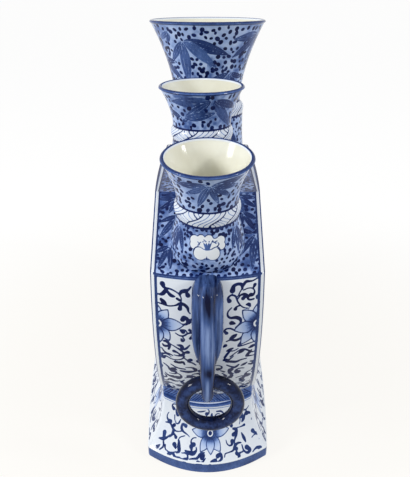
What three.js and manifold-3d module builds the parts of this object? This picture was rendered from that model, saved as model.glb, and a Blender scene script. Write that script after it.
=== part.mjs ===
// A five-finger flower vase in blue and white glazed porcelain, built from its luted parts.
// The body is a flat, moon-like reservoir on a flared foot. Five trumpet-mouthed fingers stand on
// its roof, and an elephant-head handle with a loose ring hangs on each end.
// Millimetres, +Z up. X runs along the row of fingers, Y through the thickness, and the origin is
// the middle of the foot's underside.
import * as THREE from 'three';
import { mergeVertices } from 'three/addons/utils/BufferGeometryUtils.js';
import Module from 'manifold-3d';

const wasm = await Module();
wasm.setup();

// Clearances and fineness
const seamGap = 0.3;          // slip joint left between two parts that meet on a curved face
const ringClearance = 0.8;    // between a loose ring's top and the trunk that holds it
const farAway = 600;          // larger than the vase, for cutting blocks
const finest = 0.01;          // slivers left by a cut that are smaller than this are merged away
const turnSteps = 28;         // facets around a finger
const sideSteps = 10;         // facets along a long side
const endSteps = 8;           // facets along an end

// Foot: a hollow, flared pedestal with a plain upright rim
const footHeight = 57;
const footRimHeight = 10;
const footHalfLength = 122.5;
const footHalfDepth = 54.5;
const footSideBow = 5.5;
const footEndBow = 19.5;
const footTopHalfLength = 107;
const footTopHalfDepth = 40;
const footTopEndBow = 14;
const footFlarePower = 2.2;
const footWall = 6.5;
const footSteps = 7;

// Waist collar: the narrow band that joins the foot to the body
const collarHeight = 11;
const collarRecess = 1.8;

// Body: flat faces, ends that follow an arc, and a sloping roof with a level top
const wall = 5;
const bodyHalfDepth = 42.5;
const bodySideBow = 2;
const widestHalfLength = 136;
const widestHeight = 165;
const endArcRadius = 167;
const shoulderHeight = 198.5;
const roofHeight = 239;
const roofTopHalfLength = 71;
const waistEndBow = 13;
const shoulderEndBow = 8;
const roofTopEndBow = 2;
const bodyEdge = 2.4;         // softened edge between a face and an end
const bodySteps = 9;

// Fingers: the four side ones share one mould for their bulbs, and the middle one is larger
const fingerWall = 4.4;
const lipThickness = 3.2;
const sideFinger = {
  mouthRadius: 32.5, throatRadius: 22.4, beadRadius: 24.2, rootRadius: 22.9, bulbRadius: 28,
  trumpetHeight: 29.6, beadHeight: 10.5, bulbRise: 26, bulbTopAxis: 45, bulbFootAxis: 25,
  holeRadius: 17.5,
};
// The outer fingers' mouths were drawn up a little further
const outerFinger = { ...sideFinger, trumpetHeight: 32.6, beadHeight: 11.4 };
const middleFinger = {
  mouthRadius: 48.2, throatRadius: 28.4, beadRadius: 31.8, rootRadius: 31.2, skirtRadius: 36,
  trumpetHeight: 65, beadHeight: 11, stemHeight: 49, holeRadius: 26,
};
const trumpetPower = 1.75;    // how late the mouth flares
const innerFingerSeat = 63;   // from the middle of the vase to the finger's bulb
const innerFingerRise = 16.6; // bulb's widest ring above the roof
const innerFingerTilt = 1.2;  // degrees outwards
const innerFingerOffset = 4.4; // the near inner finger was luted on this far off the middle line
const outerFingerSeat = 113.8;
const outerFingerRise = 4.5;
const outerFingerTilt = 8.4;

// Handles: an elephant's head whose trunk curls back to the wall and carries a ring
const handleReach = 25;       // trunk's middle line beyond the widest part of the end
const headHeight = 57;
const headAboveShoulder = 1.5;
const headHalfWidth = 11.4;
const headCrown = 11;         // height over which the brow rounds off
const browSetback = 11;       // how far the brow leans back behind the trunk's front
const browLean = 1.4;         // how late that lean sets in above the chin
const jawShare = 0.4;         // part of the head's height over which the jaw reaches the wall
const trunkDrop = 90.8;       // from the brow's top to the middle of the curl
const trunkHalfWidth = 4.5;
const trunkRootHalfWidth = 7;
const trunkThickness = 8.4;

// Rings
const ringRadius = 21.3;      // to the middle of the ring's section
const ringSectionRadius = 5.5;
const ringHang = 5.5;         // degrees by which a ring hangs to the +Y side of its trunk

// Glaze colours
const cobaltGround = new THREE.MeshStandardMaterial({ color: 0x6f84bb, roughness: 0.16, metalness: 0 });
const whiteGlaze = new THREE.MeshStandardMaterial({ color: 0xe4e6e2, roughness: 0.14, metalness: 0 });
const scrollGlaze = new THREE.MeshStandardMaterial({ color: 0xb9c0cf, roughness: 0.15, metalness: 0 });
const bandGlaze = new THREE.MeshStandardMaterial({ color: 0x51689f, roughness: 0.16, metalness: 0 });
const handleGlaze = new THREE.MeshStandardMaterial({ color: 0x3f5490, roughness: 0.14, metalness: 0 });
const ringGlaze = new THREE.MeshStandardMaterial({ color: 0x1f2b52, roughness: 0.12, metalness: 0 });

const radians = THREE.MathUtils.degToRad;
const mix = THREE.MathUtils.lerp;

// Heights worked out from the driving sizes
const bodyBottom = footHeight + collarHeight;
const floorTop = bodyBottom + wall;
const endArcCentre = widestHalfLength - endArcRadius;
const endArcX = (z, inset) => endArcCentre + Math.sqrt((endArcRadius - inset) ** 2 - (z - widestHeight) ** 2);
const shoulderHalfLength = endArcX(shoulderHeight, 0);
const roofSlope = Math.atan2(roofHeight - shoulderHeight, shoulderHalfLength - roofTopHalfLength);

// Half the body's length at its corners at height z, for the surface set inwards by inset
function bodyHalfLength(z, inset = 0) {
  const onSlope = shoulderHalfLength - (z - shoulderHeight) / Math.tan(roofSlope) - inset / Math.sin(roofSlope);
  return Math.min(endArcX(z, inset), onSlope);
}

// How far an end bows out at its middle at height z
function bodyEndBow(z) {
  if (z > shoulderHeight) {
    return mix(shoulderEndBow, roofTopEndBow, Math.min(1, (z - shoulderHeight) / (roofHeight - shoulderHeight)));
  }
  return mix(waistEndBow, shoulderEndBow, (z - bodyBottom) / (shoulderHeight - bodyBottom));
}

const endSurface = (z) => bodyHalfLength(z) + bodyEndBow(z);
const roofSurface = (x) => Math.min(roofHeight, roofHeight - (x - roofTopHalfLength) * Math.tan(roofSlope));

// A level ring of points: two long sides and two ends, each bowed, with softened corners
function plan(z, halfLength, halfDepth, sideBow, endBow, edge) {
  const points = [];
  const side = (x) => halfDepth + sideBow * (1 - (x / halfLength) ** 2);
  const end = (y) => halfLength + endBow * (1 - (y / halfDepth) ** 2);
  const across = (i) => mix(-(halfDepth - edge), halfDepth - edge, i / endSteps);
  const along = (i) => mix(halfLength - edge, -(halfLength - edge), i / sideSteps);
  for (let i = 0; i <= endSteps; i++) points.push(new THREE.Vector3(end(across(i)), across(i), z));
  for (let i = 0; i <= sideSteps; i++) points.push(new THREE.Vector3(along(i), side(along(i)), z));
  for (let i = 0; i <= endSteps; i++) points.push(new THREE.Vector3(-end(across(i)), -across(i), z));
  for (let i = 0; i <= sideSteps; i++) points.push(new THREE.Vector3(-along(i), -side(along(i)), z));
  return points;
}

// A closed skin over rings of equal count, each running anticlockwise seen from its far end
function loft(rings) {
  const count = rings[0].length;
  const positions = rings.flat().flatMap((p) => [p.x, p.y, p.z]);
  const index = [];
  for (let r = 0; r + 1 < rings.length; r++) {
    for (let i = 0; i < count; i++) {
      const a = r * count + i;
      const b = r * count + (i + 1) % count;
      index.push(a, b, b + count, a, b + count, a + count);
    }
  }
  const cap = (ring, start, flip) => {
    const middle = positions.length / 3;
    const centre = ring.reduce((sum, p) => sum.add(p), new THREE.Vector3()).divideScalar(count);
    positions.push(centre.x, centre.y, centre.z);
    for (let i = 0; i < count; i++) {
      const a = start + i;
      const b = start + (i + 1) % count;
      index.push(...(flip ? [middle, b, a] : [middle, a, b]));
    }
  };
  cap(rings[0], 0, true);
  cap(rings[rings.length - 1], (rings.length - 1) * count, false);
  const geometry = new THREE.BufferGeometry();
  geometry.setAttribute('position', new THREE.Float32BufferAttribute(positions, 3));
  geometry.setIndex(index);
  return geometry;
}

// three.js geometry to a manifold solid
function solid(geometry) {
  const bare = geometry.clone();
  bare.deleteAttribute('normal');
  bare.deleteAttribute('uv');
  const merged = mergeVertices(bare, 1e-4);
  return new wasm.Manifold(new wasm.Mesh({
    numProp: 3,
    vertProperties: new Float32Array(merged.attributes.position.array),
    triVerts: new Uint32Array(merged.index.array),
  }));
}

// A manifold solid to a named three.js mesh
function named(name, body, material) {
  const made = body.simplify(finest).getMesh();
  const geometry = new THREE.BufferGeometry();
  geometry.setAttribute('position', new THREE.BufferAttribute(made.vertProperties, 3));
  geometry.setIndex(new THREE.BufferAttribute(made.triVerts, 1));
  geometry.computeVertexNormals();
  const mesh = new THREE.Mesh(geometry, material);
  mesh.name = name;
  return mesh;
}

// A block between two corners, for cutting the shell where the slabs were luted
function block(low, high) {
  const box = new THREE.BoxGeometry(high[0] - low[0], high[1] - low[1], high[2] - low[2]);
  box.translate((low[0] + high[0]) / 2, (low[1] + high[1]) / 2, (low[2] + high[2]) / 2);
  return solid(box);
}

// A solid turned about Z from a closed profile of [radius, height] points
function turned(profile) {
  const points = [...profile, profile[0]].map(([r, z]) => new THREE.Vector2(r, z));
  const lathe = new THREE.LatheGeometry(points, turnSteps);
  lathe.rotateX(Math.PI / 2);
  return solid(lathe);
}

// Foot and waist

function footRing(z, inset) {
  const flare = Math.max(0, (footHeight - z) / (footHeight - footRimHeight));
  const share = z <= footRimHeight ? 1 : flare ** footFlarePower;
  return plan(
    z,
    mix(footTopHalfLength, footHalfLength, share) - inset,
    mix(footTopHalfDepth, footHalfDepth, share) - inset,
    mix(bodySideBow, footSideBow, share),
    mix(footTopEndBow, footEndBow, share),
    bodyEdge,
  );
}

function footShell() {
  const heights = [0];
  for (let i = 0; i <= footSteps; i++) heights.push(mix(footRimHeight, footHeight, i / footSteps));
  const outside = solid(loft(heights.map((z) => footRing(z, 0))));
  const inside = solid(loft([-1, ...heights.slice(1, -1), footHeight + 1].map((z) => {
    return footRing(Math.min(z, footHeight), footWall).map((p) => new THREE.Vector3(p.x, p.y, z));
  })));
  return outside.subtract(inside);
}

function waistCollar() {
  const ring = (z, inset) => plan(
    z,
    bodyHalfLength(bodyBottom) - collarRecess - inset,
    bodyHalfDepth - collarRecess - inset,
    bodySideBow,
    waistEndBow,
    bodyEdge,
  );
  const outside = solid(loft([ring(footHeight, 0), ring(bodyBottom, 0)]));
  const inside = solid(loft([ring(footHeight - 1, wall), ring(bodyBottom + 1, wall)]));
  return outside.subtract(inside);
}

// Body

// The body's outline as one solid block, with its ends and roof grown by a gap or set in by a wall
function bodyBlock(inset, halfDepth, sideBow) {
  const top = roofHeight - inset;
  const heights = [];
  for (let i = 0; i < bodySteps; i++) heights.push(mix(bodyBottom, shoulderHeight, i / bodySteps));
  heights.push(shoulderHeight, mix(shoulderHeight, top, 0.5), top);
  return solid(loft(heights.map((z) => plan(
    z, bodyHalfLength(z, inset), halfDepth, sideBow, bodyEndBow(z), bodyEdge,
  ))));
}

const bodyOutside = bodyBlock(0, bodyHalfDepth, bodySideBow);
const bodyGrown = bodyBlock(-seamGap, bodyHalfDepth + seamGap, bodySideBow);
const cavity = bodyBlock(wall, bodyHalfDepth, bodySideBow);
const bodyShell = bodyOutside.subtract(cavity);
const innerFace = bodyHalfDepth - wall;

const facePlate = (side) => bodyOutside.intersect(block(
  [-farAway, side < 0 ? -farAway : innerFace, 0],
  [farAway, side < 0 ? -innerFace : farAway, farAway],
));

const floorSlab = () => bodyOutside.intersect(block(
  [-farAway, -innerFace, 0], [farAway, innerFace, floorTop],
));

const endWall = (side) => bodyShell.intersect(block(
  [side < 0 ? -farAway : 0, -innerFace, floorTop],
  [side < 0 ? 0 : farAway, innerFace, shoulderHeight],
));

const roofSlopeSlab = (side) => bodyShell.intersect(block(
  [side < 0 ? -farAway : roofTopHalfLength, -innerFace, shoulderHeight],
  [side < 0 ? -roofTopHalfLength : farAway, innerFace, farAway],
));

const roofTopSlab = () => bodyShell.intersect(block(
  [-roofTopHalfLength, -innerFace, shoulderHeight], [roofTopHalfLength, innerFace, farAway],
));

// Fingers

// The trumpet's outer radius at share 0 (throat) to 1 (mouth)
const trumpetRadius = (f, share) => mix(f.throatRadius, f.mouthRadius, share ** trumpetPower);

// The mouth piece: bead at its foot, trumpet above, rounded lip. Height 0 is the bead's foot.
function trumpet(f) {
  const steps = 8;
  const outer = [[f.rootRadius, 0]];
  for (let i = 1; i <= 4; i++) {
    const turn = Math.PI * i / 5;
    const base = mix(f.rootRadius, f.throatRadius, i / 5);
    outer.push([base + (f.beadRadius - base) * Math.sin(turn), f.beadHeight * i / 5]);
  }
  for (let i = 0; i < steps; i++) {
    outer.push([trumpetRadius(f, i / steps), f.beadHeight + f.trumpetHeight * i / steps]);
  }
  const top = f.beadHeight + f.trumpetHeight;
  outer.push([f.mouthRadius, top - lipThickness * 0.45]);
  outer.push([f.mouthRadius - lipThickness * 0.3, top]);
  outer.push([f.mouthRadius - lipThickness * 0.8, top]);
  const inner = [];
  for (let i = steps - 1; i >= 0; i--) {
    const share = i / steps;
    const thickness = mix(fingerWall, lipThickness, share);
    inner.push([trumpetRadius(f, share) - thickness, f.beadHeight + f.trumpetHeight * share]);
  }
  inner.push([f.throatRadius - fingerWall, 0]);
  return turned([...outer, ...inner]);
}

// Radius of a side finger's bulb at a height above its widest ring
function bulbRadiusAt(f, height) {
  if (height <= 0) return f.bulbRadius * Math.sqrt(1 - (height / f.bulbFootAxis) ** 2);
  const round = (h) => f.bulbRadius * Math.sqrt(1 - (h / f.bulbTopAxis) ** 2);
  return mix(round(height), f.rootRadius, (height / f.bulbRise) ** 2);
}

const bulbFootDepth = (f) => -f.bulbFootAxis * 0.82;

// The bulb below a side finger's bead, as a solid of revolution. Height 0 is its widest ring.
function bulbSkin(f, inset) {
  const steps = 8;
  const low = bulbFootDepth(f);
  const profile = [];
  for (let i = 0; i <= steps; i++) {
    const z = mix(low, f.bulbRise, i / steps);
    profile.push([bulbRadiusAt(f, z) - inset, z]);
  }
  return profile;
}

function bulb(f) {
  const outer = bulbSkin(f, 0);
  const inner = bulbSkin(f, fingerWall).reverse();
  return turned([...outer, ...inner]);
}

// The same bulb filled in, for cutting its neighbours
const bulbPlug = (f, grow) => turned([
  [0, bulbFootDepth(f)], ...bulbSkin(f, -grow), [0, f.bulbRise],
]);

// Carries a side finger's solid from its own axis to its seat on the roof
function seated(body, seat, side) {
  const turn = radians(seat.tilt) * side;
  const matrix = new THREE.Matrix4().makeRotationY(turn);
  matrix.setPosition(seat.x * side, seat.y, roofSurface(seat.x) + seat.rise);
  return body.transform(matrix.toArray());
}

const lifted = (body, height) => body.translate([0, 0, height]);
const innerSeat = (side) => ({
  x: innerFingerSeat, y: side > 0 ? -innerFingerOffset : 0, rise: innerFingerRise, tilt: innerFingerTilt,
});
const outerSeat = { x: outerFingerSeat, y: 0, rise: outerFingerRise, tilt: outerFingerTilt };

// The middle finger's stem: a straight neck that spreads where it meets the roof
function stemRadius(share) {
  const f = middleFinger;
  return mix(f.rootRadius, f.skirtRadius, (1 - share) ** 3);
}

function stemSkin(inset) {
  const steps = 7;
  const skin = [];
  for (let i = 0; i <= steps; i++) skin.push([stemRadius(i / steps) - inset, middleFinger.stemHeight * i / steps]);
  return skin;
}

const stem = () => turned([...stemSkin(0), ...stemSkin(fingerWall).reverse()]);
const stemPlug = (grow) => turned([[0, -1], [middleFinger.skirtRadius + grow, -1], ...stemSkin(-grow),
  [0, middleFinger.stemHeight]]);

// A straight hole through the roof under a finger
const hole = (radius) => turned([[0, -farAway / 10], [radius, -farAway / 10], [radius, farAway / 10], [0, farAway / 10]]);

// Handles

const trunkX = widestHalfLength + bodyEndBow(widestHeight) + handleReach;
const browTop = shoulderHeight + headAboveShoulder;
const chin = browTop - headHeight;
const curlHeight = browTop - trunkDrop;
const headFront = trunkX + trunkThickness * 0.28;

// One level slice of the head: an egg between the back and the front of the brow
function headSlice(z, back, front, halfWidth) {
  const widest = mix(back, front, 0.55);
  const points = [];
  for (let i = 0; i < 16; i++) {
    const turn = 2 * Math.PI * i / 16;
    const reach = Math.cos(turn) > 0 ? front - widest : widest - back;
    points.push(new THREE.Vector3(widest + reach * Math.cos(turn), halfWidth * Math.sin(turn), z));
  }
  return points;
}

function head() {
  const slices = [];
  const steps = 10;
  for (let i = 0; i <= steps; i++) {
    const z = mix(chin, browTop, i / steps);
    const crown = Math.min(1, (browTop - z) / headCrown);
    const roundOff = Math.sqrt(Math.max(0.02, 1 - (1 - crown) ** 2));
    const jaw = Math.min(1, (z - chin) / (headHeight * jawShare));
    const root = endSurface(z);
    const lean = browSetback * ((z - chin) / headHeight) ** browLean;
    const front = mix(root, headFront - lean, roundOff);
    const back = mix(trunkX - trunkThickness * 0.7, root - wall, Math.sin(jaw * Math.PI / 2));
    slices.push(headSlice(z, back, front, headHalfWidth * mix(0.7, 1, jaw) * mix(0.6, 1, roundOff)));
  }
  return solid(loft(slices));
}

// A bent bar of oval section along a curve in the XZ plane
function bar(points, halfWidths, halfThicknesses, steps, sides) {
  const curve = new THREE.CatmullRomCurve3(points, false, 'centripetal');
  const at = (list, share) => {
    const place = share * (list.length - 1);
    const low = Math.min(list.length - 2, Math.floor(place));
    return mix(list[low], list[low + 1], place - low);
  };
  const rings = [];
  for (let i = 0; i <= steps; i++) {
    const share = i / steps;
    const middle = curve.getPointAt(share);
    const along = curve.getTangentAt(share);
    const across = new THREE.Vector3(0, 1, 0);
    const normal = new THREE.Vector3().crossVectors(across, along);
    const ring = [];
    for (let k = 0; k < sides; k++) {
      const turn = 2 * Math.PI * k / sides;
      ring.push(middle.clone()
        .addScaledVector(normal, at(halfThicknesses, share) * Math.cos(turn))
        .addScaledVector(across, at(halfWidths, share) * Math.sin(turn)));
    }
    rings.push(ring);
  }
  return solid(loft(rings));
}

// The ring's section centre, resting over the curl and clear of the trunk's back
const ringSpot = {
  x: trunkX - trunkThickness / 2 - ringClearance - ringSectionRadius,
  z: curlHeight + trunkThickness / 2 + ringClearance + ringSectionRadius,
};

// The trunk hangs from the brow, curls under the ring and runs back into the wall
function trunk() {
  const curlX = ringSpot.x;
  const wallHeight = curlHeight + ringSectionRadius * 1.6;
  const point = (x, z) => new THREE.Vector3(x, 0, z);
  const path = [
    point(trunkX - 3, chin + 14),
    point(trunkX - 0.6, chin),
    point(trunkX, mix(chin, curlHeight, 0.4)),
    point(trunkX, ringSpot.z + 3),
    point(trunkX - 1.4, curlHeight + 5),
    point(trunkX - 5.2, curlHeight + 0.9),
    point(curlX, curlHeight - 0.1),
    point(curlX - 6, curlHeight + 0.8),
    point(endSurface(wallHeight) + 4, wallHeight - 2.5),
    point(endSurface(wallHeight) - wall, wallHeight),
  ];
  const half = trunkThickness / 2;
  const widths = [trunkRootHalfWidth, trunkRootHalfWidth * 0.9, 5.2, ...Array(7).fill(trunkHalfWidth)];
  return bar(path, widths, Array(10).fill(half), 26, 12);
}

function handle() {
  const bulbGrown = seated(bulbPlug(outerFinger, seamGap), outerSeat, 1);
  return head().add(trunk()).subtract(bodyGrown).subtract(bulbGrown);
}

function looseRing() {
  const torus = new THREE.TorusGeometry(ringRadius, ringSectionRadius, 12, 36);
  torus.rotateY(Math.PI / 2);
  torus.translate(0, 0, -ringRadius);
  torus.rotateX(radians(ringHang));
  torus.translate(ringSpot.x, 0, ringSpot.z);
  return solid(torus);
}

// Assembly

const vase = new THREE.Group();
const put = (name, body, material) => vase.add(named(name, body, material));
const sides = [['right', 1], ['left', -1]];
const mirrored = (body, side) => (side > 0 ? body : body.mirror([1, 0, 0]));

put('foot', footShell(), scrollGlaze);
put('waist_collar', waistCollar(), bandGlaze);
put('body_floor', floorSlab(), whiteGlaze);
put('body_front_face', facePlate(-1), scrollGlaze);
put('body_back_face', facePlate(1), scrollGlaze);

const holes = [lifted(hole(middleFinger.holeRadius), roofHeight)];
for (const [, side] of sides) {
  holes.push(seated(hole(sideFinger.holeRadius), innerSeat(side), side));
  holes.push(seated(hole(outerFinger.holeRadius), outerSeat, side));
}
const pierced = (body) => holes.reduce((left, cut) => left.subtract(cut), body);

put('roof_top', pierced(roofTopSlab()), cobaltGround);
put('middle_finger_stem', lifted(stem(), roofHeight), cobaltGround);
put('middle_finger_mouth', lifted(trumpet(middleFinger), roofHeight + middleFinger.stemHeight), cobaltGround);

const middleStemGrown = lifted(stemPlug(seamGap), roofHeight);
for (const [word, side] of sides) {
  const inner = innerSeat(side);
  const mouth = (f) => lifted(trumpet(f), f.bulbRise);
  const innerGrown = seated(bulbPlug(sideFinger, seamGap), inner, side);
  const onRoof = (body) => body.subtract(bodyGrown);
  put(`end_wall_${word}`, endWall(side), scrollGlaze);
  put(`roof_slope_${word}`, pierced(roofSlopeSlab(side)), cobaltGround);
  put(`inner_finger_bulb_${word}`,
    onRoof(seated(bulb(sideFinger), inner, side)).subtract(middleStemGrown), cobaltGround);
  put(`inner_finger_mouth_${word}`, seated(mouth(sideFinger), inner, side), cobaltGround);
  put(`outer_finger_bulb_${word}`,
    onRoof(seated(bulb(outerFinger), outerSeat, side)).subtract(innerGrown), cobaltGround);
  put(`outer_finger_mouth_${word}`, seated(mouth(outerFinger), outerSeat, side), cobaltGround);
  put(`elephant_handle_${word}`, mirrored(handle(), side), handleGlaze);
  put(`handle_ring_${word}`, mirrored(looseRing(), side), ringGlaze);
}

export default vase;
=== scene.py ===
"""Painted and glazed surfaces of a five-finger blue and white vase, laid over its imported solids.

Sizes are in millimetres until a mesh is made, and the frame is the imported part's own.
"""

import math

import bpy
import numpy as np
from mathutils import Matrix, Vector


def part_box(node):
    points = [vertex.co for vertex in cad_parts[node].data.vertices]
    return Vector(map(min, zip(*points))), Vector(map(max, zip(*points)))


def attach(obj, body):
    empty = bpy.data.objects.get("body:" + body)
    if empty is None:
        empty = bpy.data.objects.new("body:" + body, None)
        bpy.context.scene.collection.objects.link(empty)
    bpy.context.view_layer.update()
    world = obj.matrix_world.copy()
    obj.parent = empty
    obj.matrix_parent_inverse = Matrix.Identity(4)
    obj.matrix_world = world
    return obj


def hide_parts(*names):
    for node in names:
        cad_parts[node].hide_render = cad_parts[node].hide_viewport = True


bl_info = {
    "name": "Finger vase glazing",
    "version": (1, 0, 0),
    "blender": (4, 5, 0),
    "location": "View3D > Sidebar > Finger vase",
    "description": "Builds the painted, glazed pieces of a finger vase around its packed solids",
    "category": "Object",
}

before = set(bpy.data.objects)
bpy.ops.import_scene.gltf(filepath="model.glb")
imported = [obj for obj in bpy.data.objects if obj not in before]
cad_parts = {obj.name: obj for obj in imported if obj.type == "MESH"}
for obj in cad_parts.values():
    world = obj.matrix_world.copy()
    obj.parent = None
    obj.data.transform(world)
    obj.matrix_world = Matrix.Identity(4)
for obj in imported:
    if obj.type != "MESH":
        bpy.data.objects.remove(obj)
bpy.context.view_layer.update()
MM = 0.001
STEP = 0.3  # a drawing's sampling, in mm
SOFT = 0.6  # half the width of the ramp at a brush mark's edge, in mm
MARK_MARGIN = 2.2  # how far round its points a mark is worked out, in mm
TONE_REACH = 1.2  # how far past its edge a mark's tone is laid, in mm
WASH_REACH = 0.1  # the same for a wash with no mark of its own
FIELDS = ("dark", "leaf", "pale", "white")
TONES = ("ground", "leaf", "dark")
SIDES = {1: "right", -1: "left"}
# How much cobalt marks hold where nothing else is said, from 0 for bare to 1 for heaped
LEAF_TONE = 0.66
DARK_TONE = 0.92
PALE_TONE = 0.27
# Heights in the bake map of a wall's outside, inside and the strips between them
OUTSIDE_MAP = (0.002, 0.90)
STRIP_MAP = (0.903, 0.94)
INSIDE_MAP = (0.945, 0.998)


# Colour

def colour(hex_value):
    """An sRGB hex value as linear red, green, blue and alpha."""
    parts = [int(hex_value[i:i + 2], 16) / 255 for i in (1, 3, 5)]
    return tuple(c / 12.92 if c <= 0.04045 else ((c + 0.055) / 1.055) ** 2.4 for c in parts) + (1.0,)


# What a user would change

def length(name, description, millimetres):
    return bpy.props.FloatProperty(name=name, description=description, default=millimetres * MM,
                                   unit="LENGTH", precision=5)


def angle(name, description, degrees):
    return bpy.props.FloatProperty(name=name, description=description, default=math.radians(degrees),
                                   subtype="ANGLE")


def tint(name, description, hex_value):
    return bpy.props.FloatVectorProperty(name=name, description=description, size=4, min=0, max=1,
                                         default=colour(hex_value), subtype="COLOR")


def share(name, description, value):
    return bpy.props.FloatProperty(name=name, description=description, default=value, min=0, max=2,
                                   subtype="FACTOR")


class VASE_PG_shape(bpy.types.PropertyGroup):
    """Sizes of the potted form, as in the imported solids."""

    foot_height: length("Foot height", "Height of the foot", 57)
    foot_rim: length("Foot rim", "Height of the foot's upright rim", 10)
    foot_half_length: length("Foot half length", "Half the foot's length at its corners", 122.5)
    foot_half_depth: length("Foot half depth", "Half the foot's depth at its corners", 54.5)
    foot_side_bow: length("Foot side bow", "How far the foot's long sides bow out", 5.5)
    foot_end_bow: length("Foot end bow", "How far the foot's ends bow out", 19.5)
    foot_top_half_length: length("Foot top half length", "Half the foot's length at its top", 107)
    foot_top_half_depth: length("Foot top half depth", "Half the foot's depth at its top", 40)
    foot_top_end_bow: length("Foot top end bow", "How far the foot's ends bow out at its top", 14)
    foot_wall: length("Foot wall", "Thickness of the foot", 6.5)
    collar_height: length("Collar height", "Height of the waist band", 11)
    collar_recess: length("Collar recess", "How far the waist band lies inside the body", 1.8)
    wall: length("Wall", "Thickness of the body's slabs", 5)
    half_depth: length("Body half depth", "Half the body's depth at its corners", 42.5)
    side_bow: length("Side bow", "How far the broad faces bow out", 2)
    widest: length("Widest half length", "Half the body's greatest length", 136)
    widest_height: length("Widest height", "Height of the body's greatest length", 165)
    end_radius: length("End radius", "Radius of the arc the ends follow", 167)
    shoulder: length("Shoulder height", "Height at which the roof starts", 198.5)
    roof: length("Roof height", "Height of the roof's level top", 239)
    roof_half_length: length("Roof half length", "Half the length of the level top", 71)
    waist_bow: length("Waist bow", "How far an end bows out at the waist", 13)
    shoulder_bow: length("Shoulder bow", "How far an end bows out at the shoulder", 8)
    roof_bow: length("Roof bow", "How far an end bows out at the level top", 2)
    edge: length("Edge", "Width of the softened edges", 2.4)
    finger_wall: length("Finger wall", "Thickness of a finger", 4.4)
    lip: length("Lip", "Thickness of a mouth's lip", 3.2)
    inner_seat: length("Inner finger seat", "From the middle to the inner fingers", 63)
    inner_rise: length("Inner finger rise", "Their widest ring above the roof", 16.6)
    inner_offset: length("Inner finger offset", "How far the near one stands off the middle line", 4.4)
    inner_tilt: angle("Inner finger tilt", "Outward lean of the inner fingers", 1.2)
    outer_seat: length("Outer finger seat", "From the middle to the outer fingers", 113.8)
    outer_rise: length("Outer finger rise", "Their widest ring above the roof", 4.5)
    outer_tilt: angle("Outer finger tilt", "Outward lean of the outer fingers", 8.4)
    handle_reach: length("Handle reach", "From the end's widest part to the trunk's middle", 25)
    head_above: length("Head above shoulder", "From the shoulder up to the elephant's brow", 1.5)
    head_height: length("Head height", "From the brow to the chin", 57)
    trunk_drop: length("Trunk drop", "From the brow to the middle of the curl", 90.8)
    trunk: length("Trunk thickness", "Thickness of the trunk", 8.4)
    brow_setback: length("Brow setback", "How far the brow leans back behind the trunk's front", 11)
    ring_gap: length("Ring gap", "Between a ring's top and its trunk", 0.8)
    ring_radius: length("Ring radius", "To the middle of the ring's section", 21.3)
    ring_section: length("Ring section", "Radius of the ring's section", 5.5)


class VASE_PG_glaze(bpy.types.PropertyGroup):
    """Colours of the glaze and of the cobalt under it, from bare body to heaviest cobalt."""

    porcelain: tint("Porcelain", "Clear glaze over the white body", "#E3E8ED")
    faint: tint("Faint cobalt", "Thinnest cobalt wash", "#BACBEA")
    ground: tint("Ground cobalt", "Wash of the dotted ground", "#98B0DE")
    middle: tint("Middle cobalt", "Between wash and leaf", "#4C68A4")
    leaf: tint("Leaf cobalt", "Leaves of the dotted ground", "#293E72")
    deep: tint("Deep cobalt", "Scroll lines", "#0F2158")
    heavy: tint("Heavy cobalt", "Heaped spots", "#020C3C")
    inside: tint("Inside", "Glaze inside the mouths", "#E8E8DC")
    # This tone is used only round the foot, as painted shade on the paper
    floor: tint("Floor", "Paper that the vase stands on", "#FBF9F5")
    gloss: share("Roughness", "Roughness of the glaze", 0.11)
    cell: length("Cell", "Spacing of the painted surface's points", 0.7)


# The potted form

TRUMPET_POWER = 1.75
FLARE_POWER = 2.2
CORNER_FULLNESS = 0.62
BULB_FOOT = 0.82  # how far down its lower axis a bulb is cut
SIDE_FINGER = dict(mouth=32.5, throat=22.4, bead=24.2, root=22.9, bulb=28.0, trumpet_height=29.6,
                   bead_height=10.5, bulb_rise=26.0, top_axis=45.0, foot_axis=25.0)
OUTER_FINGER = dict(SIDE_FINGER, trumpet_height=32.6, bead_height=11.4)
MIDDLE_FINGER = dict(mouth=48.2, throat=28.4, bead=31.8, root=31.2, skirt=36.0, trumpet_height=65.0,
                     bead_height=11.0, stem_height=49.0)


def mix(a, b, t):
    return a + (b - a) * t


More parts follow.
